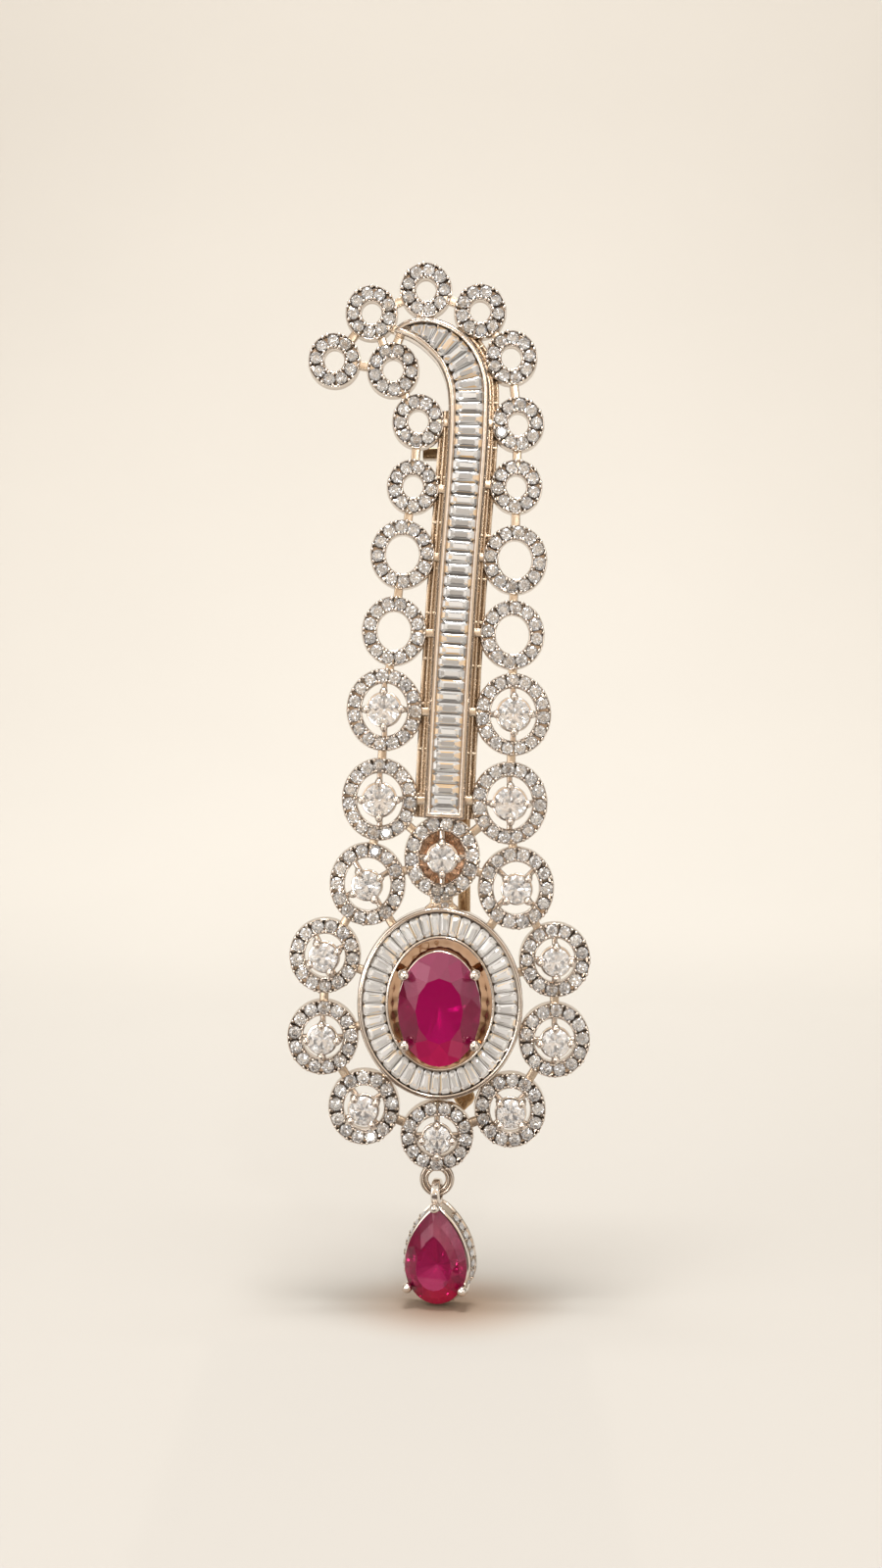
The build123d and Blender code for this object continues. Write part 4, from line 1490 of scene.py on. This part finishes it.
@dataclass
class Solitaires(Assembly):
    """The open baskets of the solitaires: base ring, struts, collar and four claws each."""

    layout: Layout
    level: float = 3.95
    basket_low: float = 0.6
    basket_high: float = 1.4
    wall: float = 0.55
    collar_drop: float = 1.15
    collar: float = 0.4
    strut: float = 0.7
    claw: Claw = Claw(0.7, 1.06, 0.27)

    def metal(self) -> Shell:
        """All baskets with their claws.

        Formula: the base ring and the collar are sections carried round circles; the struts are bars.

        Returns:
            The baskets and claws as one shell.
        """
        shells, wall = [], self.wall
        for ring in self.layout.solitaires:
            middle, stone = (ring.x, ring.z), ring.kind.value.stone
            low = self.level - self.collar_drop
            away = self.claw.foot_radius(stone, self.level - self.basket_low)
            base = slab(-wall / 2, wall / 2, self.basket_low, self.basket_high, 0.15)
            shells.append(oval_band(middle, 2 * away, 2 * away, base, 32))
            across = 2 * self.claw.foot_radius(stone, self.collar_drop)
            collar = slab(-wall / 4, wall, low, low + self.collar, 0.12)
            shells.append(oval_band(middle, across, across, collar, 32))
            out = ray(np.radians(ring.turn + 90 * np.arange(4)))
            ends = np.stack([ring.band_point(ring.centre + one) for one in out])
            strut = slab(-self.strut / 2, self.strut / 2, self.basket_low, self.basket_high, 0.18)
            shells.append(bars(ring.centre + out * away, ends, strut))
            foot = (self.basket_low + self.basket_high) / 2
            shells.append(self.claw.shells(ring.centre + out * stone / 2, out, self.level, foot))
        return joined(shells)

    def pieces(self) -> list[Piece]:
        """The baskets."""
        return [Piece("solitaire_baskets", self.metal(), Finish.WHITE_GOLD, FRAME, 50)]

    def dressed(self) -> dict[str, Finish]:
        """The solitaires."""
        count = len(self.layout.solitaires)
        return {f"solitaire_{number + 1:02d}": Finish.BRILLIANT_CUT for number in range(count)}


@dataclass
class RubySetting(Assembly):
    """The oval ruby's collar and its four claws."""

    wide: float = 10.2
    tall: float = 14.1
    level: float = 5.4
    side: float = -0.1
    rise: float = -0.35
    angle: float = 36.5
    foot: float = 0.4
    collar_drop: float = 1.6
    collar: float = 0.6
    collar_wall: float = 0.7
    play: float = 0.06
    claw: Claw = Claw(0.95, 1.44, 0.12)

    def metal(self) -> Shell:
        """The collar, a section carried round the stone's oval, and the claws.

        Returns:
            The setting as one shell.
        """
        low, centre = self.level - self.collar_drop, (self.side, self.rise)
        section = slab(0, self.collar_wall, low, low + self.collar, 0.15)
        collar = oval_band(centre, self.wide + self.play, self.tall + self.play, section, 96)
        angle = np.radians([self.angle, 180 - self.angle, 180 + self.angle, -self.angle])
        edge, out = oval_points(self.wide, self.tall, 0.0, angle)
        return joined([collar, self.claw.shells(edge + np.array(centre), out, self.level, self.foot)])

    def pieces(self) -> list[Piece]:
        """The setting."""
        return [Piece("ruby_claws", self.metal(), Finish.WHITE_GOLD, FRAME, 50)]

    def dressed(self) -> dict[str, Finish]:
        """The ruby."""
        return {"ruby_oval": Finish.RUBY}


@dataclass
class Eye(Assembly):
    """The eye under the lowest ring, a pair of round wires side by side."""

    ring: Ring
    wire: float = 1.1
    hole: float = 2.14
    level: float = 1.0

    @property
    def centre(self) -> tuple[float, float]:
        """The eye's middle."""
        return self.ring.x, self.ring.z - self.ring.kind.value.tall / 2 - self.hole / 2

    @property
    def hinge(self) -> float:
        """The height at which the drop hangs."""
        return self.centre[1] - (self.hole + self.wire) / 2

    def pieces(self) -> list[Piece]:
        """The eye.

        Formula: two circles of wire, one round the other, carried round the eye's middle.

        Returns:
            The one piece.
        """
        outer, wires = self.hole + 2 * self.wire, []
        for inset, radius in ((self.wire * 0.27, self.wire * 0.27), (self.wire * 0.74, self.wire * 0.26)):
            section = ray(turns(14)) * (radius, 1.35 * radius) + (inset, self.level)
            wires.append(oval_band(self.centre, outer, outer, section, 48))
        return [Piece("drop_eye", joined(wires), Finish.WHITE_GOLD, FRAME)]


@dataclass
class Drop(Assembly):
    """The ruby drop: its pave basket, three claws and the bail that hangs in the eye."""

    eye: Eye
    turn: float = -12.0
    wide: float = 7.9
    tall: float = 11.9
    shoulder: float = 0.61
    point: float = 1.75
    hang: float = 1.87
    level: float = 0.74
    wall: float = 0.55
    proud: float = 0.2
    seat: float = 0.6
    depth: float = 2.5
    flare: float = 0.5
    stone: float = 1.05
    bead: float = 0.26
    bare: float = 1.3
    steps: int = 120
    count: int = 28
    bail_hole: float = 1.9
    bail_band: float = 0.75
    bail_width: float = 1.2
    claw: Claw = Claw(0.85, 1.3, 0.1)

    def plane(self) -> Plane:
        """The drop's plane, with its origin at the hinge."""
        x, y, z = JEWEL_PLACE
        return Plane((x + self.eye.centre[0], y - self.eye.level, z + self.eye.hinge), self.turn)

    def edge(self, angle: Array, inset: float = 0.0) -> Array:
        """Points of the pear's outline.

        Formula: a half oval below the shoulder. Above it, height follows the sine, and width follows
        a power of the cosine, which brings the sides to a point.

        Args:
            angle: Angles in radians.
            inset: How far inside the outline.

        Returns:
            The points, shaped (..., 2).
        """
        c, s = np.cos(angle), np.sin(angle)
        upper, lower = self.tall * self.shoulder, self.tall * (1 - self.shoulder)
        middle, half = -self.hang - upper, self.wide / 2 - inset
        pointed = half * np.abs(c) ** self.point * np.sign(c)
        above = np.stack([pointed, middle + (upper - 1.6 * inset) * s], -1)
        below = np.stack([half * c, middle + (lower - inset) * s], -1)
        return np.where((s < 0)[..., None], below, above)

    def even_angles(self, count: int) -> Array:
        """Angles whose points lie evenly round the outline, from its length summed in small steps.

        Args:
            count: How many.

        Returns:
            The angles, in radians.
        """
        fine = np.linspace(0, 2 * np.pi, 1441) + np.pi / 2
        run = np.linalg.norm(np.diff(self.edge(fine), axis=0), axis=1)
        far = np.concatenate([[0], np.cumsum(run)])
        return np.interp(np.arange(count) / count * far[-1], far, fine)

    def outward(self, angle: Array) -> Array:
        """The outline's outward directions, across its own small steps."""
        return right_of(unit(self.edge(angle + 0.01) - self.edge(angle - 0.01)))

    def flared(self, angle: Array, inset: float, level: Array | float) -> Array:
        """Points of the basket's wall, which widens towards the back at its sides.

        Formula: the inset falls by the flare times the share of the depth, times a power of the
        angle's cosine, and less and less below the shoulder.

        Args:
            angle: Angles in radians.
            inset: How far inside the stone's outline at the front rail.
            level: The level.

        Returns:
            The points, shaped (..., 2).
        """
        share = (self.level - self.seat - level) / self.depth
        low = np.clip((np.sin(angle) + 0.9) / 0.7, 0, 1)
        return self.edge(angle, inset - self.flare * share * np.abs(np.cos(angle)) ** 0.6 * low)

    def basket(self) -> Shell:
        """The basket's two rails with the band between them, sunk for its stones.

        Formula: each point of the section, as (inset, level), gives a loop of the flared wall.

        Returns:
            The basket.
        """
        top, out, inner = self.level - self.seat, -self.proud, self.wall - self.proud
        foot = top - self.depth
        stations = [
            (out, top - 0.1), (out, top - 0.38), (out + 0.14, top - 0.46), (out + 0.14, foot + 0.46),
            (out, foot + 0.38), (out, foot + 0.1), (out + 0.1, foot), (inner - 0.08, foot),
            (inner, foot + 0.1), (inner, top - 0.1), (inner - 0.08, top), (out + 0.1, top),
        ]
        angle = self.even_angles(self.steps)
        return tube(np.stack([lifted(self.flared(angle, *at), at[1]) for at in stations]), ring=True)

    def spots(self, shift: float) -> Array:
        """The angles of the small stones, less those at the point.

        Args:
            shift: The share of a step.

        Returns:
            The angles, in radians.
        """
        angle = self.even_angles(self.count) + 0.06
        after = np.append(angle[1:], angle[0] + 2 * np.pi)
        angle = angle * (1 - shift) + after * shift
        return angle[np.abs(self.edge(angle)[:, 1] + self.hang) > self.bare]

    def stones(self) -> Shell:
        """The small stones round the outside of the basket, between its rails.

        Returns:
            The stones as one shell.
        """
        angle, level = self.spots(0), self.level - self.seat - self.depth / 2
        centres = lifted(self.flared(angle, 0.05 - self.proud, level), level)
        facing = lifted(self.outward(angle), self.flare / self.depth)
        return set_stones(centres, np.full(len(angle), self.stone), facing, Seed.DROP_STONES)

    def beads(self) -> Shell:
        """A pair of small beads between each two of those stones.

        Returns:
            The beads as one shell.
        """
        angle, middle = self.spots(0.5), self.level - self.seat - self.depth / 2
        levels = (middle - 0.5, middle + 0.5)
        centres = [lifted(self.flared(angle, 0.02 - self.proud, level), level) for level in levels]
        return ball(np.concatenate(centres), self.bead)

    def bail(self) -> Shell:
        """The bail: a rounded strap round the eye's wire, and the neck down to the basket.

        Formula: the strap's section, as (distance, side), is turned about the hinge's axis.

        Returns:
            The strap and the neck.
        """
        hole, outer = self.bail_hole / 2, self.bail_hole / 2 + self.bail_band
        half = self.bail_width / 2
        section = rounded([(hole, -half), (outer, -half * 0.8), (outer, half * 0.8), (hole, half)], 0.25, 4)
        way = ray(turns(48))[:, None]
        side = np.broadcast_to(section[:, 1:], (48, len(section), 1))
        ring = tube(np.concatenate([side, (way * section[:, :1])[..., ::-1]], -1), ring=True)
        top, foot, level = hole + self.bail_band / 3, self.hang + self.wall, self.level - self.seat
        neck = bars(np.array([[0.0, -top]]), np.array([[0.0, -foot]]),
                    slab(-0.5, 0.5, level - 1.05, level - 0.15, 0.25))
        return joined([ring, neck])

    def claws(self) -> Shell:
        """Three claws: one at the point and one on each lower side.

        Returns:
            The claws as one shell.
        """
        angle = np.radians([90.0, -33.0, 213.0])
        out = self.outward(angle)
        out[0] = (0.0, 1.0)
        foot = self.level - self.seat - self.depth * 0.6
        return self.claw.shells(self.edge(angle), out, self.level, foot)

    def pieces(self) -> list[Piece]:
        """The basket with its bail, claws and beads, and the basket's small stones.

        Returns:
            The two pieces.
        """
        place = self.plane()
        basket = joined([self.basket(), self.bail(), self.claws(), self.beads()])
        return [
            Piece("drop_basket", basket, Finish.BRIGHT_GOLD, ("drop_setting",), 50, place, DROP),
            Piece("drop_diamonds", self.stones(), Finish.SINGLE_CUT, (), 0, place, DROP),
        ]

    def dressed(self) -> dict[str, Finish]:
        """The pear cut ruby."""
        return {"ruby_drop": Finish.PEAR_RUBY}


@dataclass(frozen=True)
class Upright(Plane):
    """The frame itself, for pieces worked out as x, y and z."""

    origin: tuple[float, float, float] = (0.0, 0.0, 0.0)

    def world(self, points: Array) -> Array:
        """The same points, in metres."""
        return points * MM


@dataclass
class Pin(Assembly):
    """The turban pin behind the jewel and the bracket that carries it."""

    line: CentreLine
    length: float = 84.4
    width: float = 1.6
    head: float = 2.3
    spade: tuple[float, float, float] = (2.8, 3.8, 0.7)
    bar_tall: float = 1.4
    bar_deep: float = 2.6
    left: float = 5.3
    right: float = 3.7
    post: float = 1.2
    post_spread: float = 3.6
    front: float = -6.5
    place: float = 0.69

    def rod(self) -> Shell:
        """The rod, its flat spade tip and its head, as one surface.

        Formula: at each height an ellipse, (half width cos, half depth sin).

        Returns:
            The rod.
        """
        half, top, head = self.width / 2, self.length / 2, self.head / 2
        (wide, tall, thick), foot, bar = self.spade, -top, top + self.bar_tall
        stations = [
            (foot + 0.02, 0.08, 0.08), (foot + 0.3, 0.36, 0.2),
            (foot + tall * 0.25, wide * 0.38, thick * 0.42), (foot + tall * 0.42, wide / 2, thick / 2),
            (foot + tall * 0.55, wide * 0.47, thick / 2), (foot + tall * 0.8, half * 1.1, thick * 0.6),
            (foot + tall, half, half * 0.8), (foot + tall * 1.15, half, half), (0.0, half, half),
            (top - 0.4, half, half), (bar, half, half), (bar + 0.05, head - 0.1, head - 0.1),
            (bar + 0.2, head, head), (bar + 0.5, head, head), (bar + 0.7, head - 0.25, head - 0.25),
        ]
        z, across, deep = np.array(stations).T
        z = np.minimum(z, top + 1.45 * self.bar_tall)
        return tube(lifted(np.stack([across, deep], -1)[:, None] * ray(turns(24)), z[:, None]))

    def bracket(self) -> Shell:
        """The crossbar, on two posts that reach the feather's back.

        Formula: a rounded rectangle carried straight, across for the bar and forwards for the posts.

        Returns:
            The crossbar and the posts.
        """
        z, deep, tall = self.length / 2, self.bar_deep / 2, self.bar_tall / 2
        loop = slab(-tall, tall, -deep, deep, 0.3)
        bar = np.stack([np.insert(loop[:, ::-1] + (0, z), 0, x, axis=1) for x in (-self.left, self.right)])
        feather_x = float(self.line.at(self.place)[0][0]) + JEWEL_PLACE[0]
        post = slab(-self.post / 2, self.post / 2, z - tall, z + tall, 0.25)
        shells = [tube(bar)]
        for side in Side:
            at = post + (feather_x + side.value * self.post_spread / 2, 0)
            shells.append(tube(np.stack([np.insert(at, 1, y, axis=1) for y in (0.3 - deep, self.front)])))
        return joined(shells)

    def pieces(self) -> list[Piece]:
        """The bracket and the pin.

        Returns:
            The two pieces.
        """
        return [
            Piece("pin_bracket", self.bracket(), Finish.SOFT_GOLD, FRAME, plane=Upright()),
            Piece("pin_rod", self.rod(), Finish.PIN_GOLD, ("turban_pin",), 50, Upright()),
        ]


@dataclass
class Studio:
    """The pale floor and wall, the soft lights and the camera."""

    floor: float = -65.35
    wall: float = 650.0
    bend: float = 380.0
    wall_top: float = 1300.0
    edge: float = 1500.0
    paling: tuple[float, float] = (-60.0, 420.0)
    fading: tuple[float, float] = (225.0, 420.0)
    # A painted brown shadow under the drop: its middle on the floor and its radius.
    painted_shadow: tuple[tuple[float, float], float] = ((-2.0, -6.0), 17.0)
    grain: float = 110.0
    distance: float = 230.0
    front_plane: float = -7.8
    height: float = 195.2
    eye: tuple[float, float] = (-2.98, 6.1)
    drop_share: float = 50 / 1600
    card: tuple[float, float, float, float, float] = (-30.0, 14.0, -20.0, -330.0, 24.0)
    air_seen: float = 0.92
    air_steps: tuple[tuple[str, float, float, float, float], ...] = (
        ("Z", -0.5, 0.8, 0.5, 0.9), ("Y", -1.0, -0.6, 1.5, 1.0), ("X", 0.5, 0.9, 1.05, 0.22),
        ("X", -0.95, -0.7, 0.4, 1.0),
    )

    def staged(self, name: str, points: Array, faces: list[Any], material: bpy.types.Material,
               smooth: bool = False) -> bpy.types.Object:
        """An object of the studio, which isn't part of the jewel.

        Args:
            name: Its name.
            points: Its points, in millimetres.
            faces: The numbers of each face's points.
            material: Its material.
            smooth: Whether its faces are smoothed.

        Returns:
            The object.
        """
        mesh = bpy.data.meshes.new(name)
        mesh.from_pydata(points * MM, [], faces)
        mesh.polygons.foreach_set("use_smooth", np.full(len(mesh.polygons), smooth))
        mesh.materials.append(material)
        made = bpy.data.objects.new(name, mesh)
        bpy.context.scene.collection.objects.link(made)
        return made

    def paper(self) -> bpy.types.Material:
        """Cream paper: greyer near the jewel, paler towards the wall, with a painted brown shadow under the
        drop.

        Far ahead and far to the sides the camera sees through it into the air, so no edge shows.

        Returns:
            The material.
        """
        made, tree = new_material("Paper, cream, matt")
        at = add_node(tree, "TexCoord", {}).outputs["Object"]
        grain = add_node(tree, "TexNoise", {"Vector": at, "Scale": 1 / (self.grain * MM), "Detail": 2.0})
        part = add_node(tree, "SeparateXYZ", {0: at}).outputs
        share = add_node(
            tree, "MapRange",
            {"Value": part["Y"], "From Min": self.paling[0] * MM, "From Max": self.paling[1] * MM},
            interpolation_type="SMOOTHSTEP",
        )
        # Painted shadow: the paper turns brown towards the spot under the drop.
        place, size = self.painted_shadow
        away = add_node(
            tree, "VectorMath", {0: at, 1: Vector((*place, self.floor)) * MM}, operation="DISTANCE"
        )
        under = add_node(
            tree, "MapRange",
            {"Value": away, "From Max": size * MM, "To Min": 1.0, "To Max": 0.0},
            interpolation_type="SMOOTHSTEP",
        )
        tone = add_node(tree, "Mix", {0: grain, 6: srgb("#CECBC5"), 7: srgb("#D2CFC9")}, data_type="RGBA")
        tone = add_node(tree, "Mix", {0: share, 6: srgb("#AAA6A0"), 7: tone}, data_type="RGBA")
        tone = add_node(tree, "Mix", {0: under, 6: tone, 7: srgb("#9A8470")}, data_type="RGBA")
        matt = add_node(tree, "BsdfPrincipled", {"Base Color": tone, "Roughness": 0.9})
        aside = add_node(tree, "Math", {0: part["X"]}, operation="ABSOLUTE")
        ahead = add_node(tree, "Math", {0: part["Y"], 1: -1.0}, operation="MULTIPLY")
        far = add_node(tree, "Math", {0: aside, 1: ahead}, operation="MAXIMUM")
        seen = add_node(tree, "LightPath", {}).outputs["Is Camera Ray"]
        gone = add_node(
            tree, "MapRange",
            {"Value": far, "From Min": self.fading[0] * MM, "From Max": self.fading[1] * MM,
             "To Max": seen},
            interpolation_type="SMOOTHSTEP",
        )
        clear = add_node(tree, "BsdfTransparent", {})
        shader = add_node(tree, "MixShader", {0: gone, 1: matt, 2: clear})
        add_node(tree, "OutputMaterial", {"Surface": shader})
        return made

    def backdrop(self) -> bpy.types.Object:
        """A floor that bends up into a wall.

        Formula: a profile of a straight floor, a quarter circle and a straight wall, carried across.

        Returns:
            The staged object.
        """
        turn = np.linspace(0, np.pi / 2, 24)
        start = self.wall - self.bend
        y = np.concatenate([[-self.edge, -600], start + self.bend * np.sin(turn), [self.wall]])
        z = self.floor + np.concatenate([[0, 0], self.bend * (1 - np.cos(turn)), [self.wall_top]])
        x = np.linspace(-self.edge, self.edge, 13)
        points = np.stack([np.repeat(x, len(y)), np.tile(y, len(x)), np.tile(z, len(x))], -1)
        cell = np.arange(len(points)).reshape(len(x), len(y))
        quads = np.stack([cell[:-1, :-1], cell[1:, :-1], cell[1:, 1:], cell[:-1, 1:]], -1)
        return self.staged("cyclorama", points, quads.reshape(-1, 4).tolist(), self.paper(), smooth=True)

    def flag(self) -> bpy.types.Object:
        """A small dark card low in front, which keeps the rubies' tables deep.

        It is a reflector only: it shades nothing, and no view shows it.

        Returns:
            The staged object.
        """
        left, right, near, far, rise = self.card
        low = self.floor + 0.5
        profile = np.array([(near, low), (far, low), (far, low + rise)])
        points = np.column_stack([np.repeat([left, right], 3), np.tile(profile, (2, 1))])
        made, tree = new_material("Card, dark, matt")
        shader = add_node(tree, "BsdfPrincipled", {"Base Color": srgb("#4A403A"), "Roughness": 0.9})
        add_node(tree, "OutputMaterial", {"Surface": shader})
        card = self.staged("dark_card", points, [(0, 1, 4, 3), (1, 2, 5, 4)], made)
        card.visible_camera = card.visible_shadow = card.visible_diffuse = False
        return card

    def light(self, name: str, at: tuple[float, float, float], size: float, power: float,
              aim: tuple[float, float, float] = (-3, -7, -5)) -> None:
        """A square softbox, as a rule turned to the jewel's middle.

        Args:
            name: The light's name.
            at: Its place, in millimetres.
            size: Its side, in millimetres.
            power: Its power in watts.
            aim: The place to which it is turned.
        """
        data = bpy.data.lights.new(name, "AREA")
        data.size, data.energy = size * MM, power
        made = bpy.data.objects.new(name, data)
        made.location = Vector(at) * MM
        made.rotation_euler = (Vector(aim) * MM - made.location).to_track_quat("-Z", "Y").to_euler()
        bpy.context.scene.collection.objects.link(made)

    def air(self) -> bpy.types.World:
        """The room's own light: bright overhead and in front, dim below and dark on the right.

        The camera sees it at one even strength.

        Returns:
            The world.
        """
        world = bpy.data.worlds.new("studio_air")
        world.use_nodes = True
        tree = world.node_tree
        tree.nodes.clear()
        way = add_node(tree, "TexCoord", {}).outputs["Generated"]
        part = add_node(tree, "SeparateXYZ", {0: way}).outputs
        power = 1.0
        for axis, start, stop, low, high in self.air_steps:
            share = add_node(
                tree, "MapRange",
                {"Value": part[axis], "From Min": start, "From Max": stop, "To Min": low, "To Max": high},
                interpolation_type="SMOOTHSTEP",
            )
            power = add_node(tree, "Math", {0: share, 1: power}, operation="MULTIPLY")
        seen = add_node(tree, "LightPath", {}).outputs["Is Camera Ray"]
        power = add_node(tree, "Mix", {0: seen, 2: power, 3: self.air_seen})
        above = add_node(tree, "MapRange", {"Value": part["Z"], "From Min": -0.1, "From Max": 0.6})
        share = add_node(tree, "Math", {0: above, 1: seen}, operation="MAXIMUM")
        tone = add_node(tree, "Mix", {0: share, 6: srgb("#F0D4B4"), 7: srgb("#F7EFE4")}, data_type="RGBA")
        glow = add_node(tree, "Background", {"Color": tone, "Strength": power})
        add_node(tree, "OutputWorld", {"Surface": glow})
        return world

    def build(self) -> None:
        """Makes the backdrop, lights, surroundings and camera."""
        self.backdrop()
        self.flag()
        self.light("top_box", (-8, -40, 330), 140, 1.9)
        self.light("left_box", (-320, -240, 90), 300, 0.5)
        self.light("right_box", (330, -200, 60), 280, 0.26)
        self.light("front_spark", (60, -420, 160), 40, 0.35)
        self.light("front_low", (-90, -420, -60), 60, 0.2)
        self.light("wall_wash", (0, 350, 580), 800, 2.2, (0, 650, 430))
        world = self.air()
        scene = bpy.context.scene
        scene.world = world
        scene.view_settings.view_transform = "Standard"
        data = bpy.data.cameras.new("front_camera")
        data.sensor_width = 36.0
        data.lens = data.sensor_width * self.distance / self.height
        data.shift_y = -self.drop_share
        data.clip_start, data.clip_end = 0.01, 10.0
        camera = bpy.data.objects.new("front_camera", data)
        camera.location = Vector((self.eye[0], self.front_plane - self.distance, self.eye[1])) * MM
        camera.rotation_euler = (np.pi / 2, 0, 0)
        scene.collection.objects.link(camera)
        scene.camera = camera


def main() -> None:
    """Builds the studio and the jewel's sub-assemblies in order."""
    logging.basicConfig(level=logging.INFO, format="%(message)s")
    Studio().build()
    materials = {finish: finish.value.material() for finish in Finish}
    line = CentreLine()
    layout = Layout(line)
    eye = Eye(layout.rings["halo_foot"])
    for assembly in (Rings(layout), Feather(line), Halo(), Solitaires(layout), RubySetting(), eye,
                     Drop(eye), Pin(line)):
        assembly.build(materials)


if __name__ == "__main__":
    main()
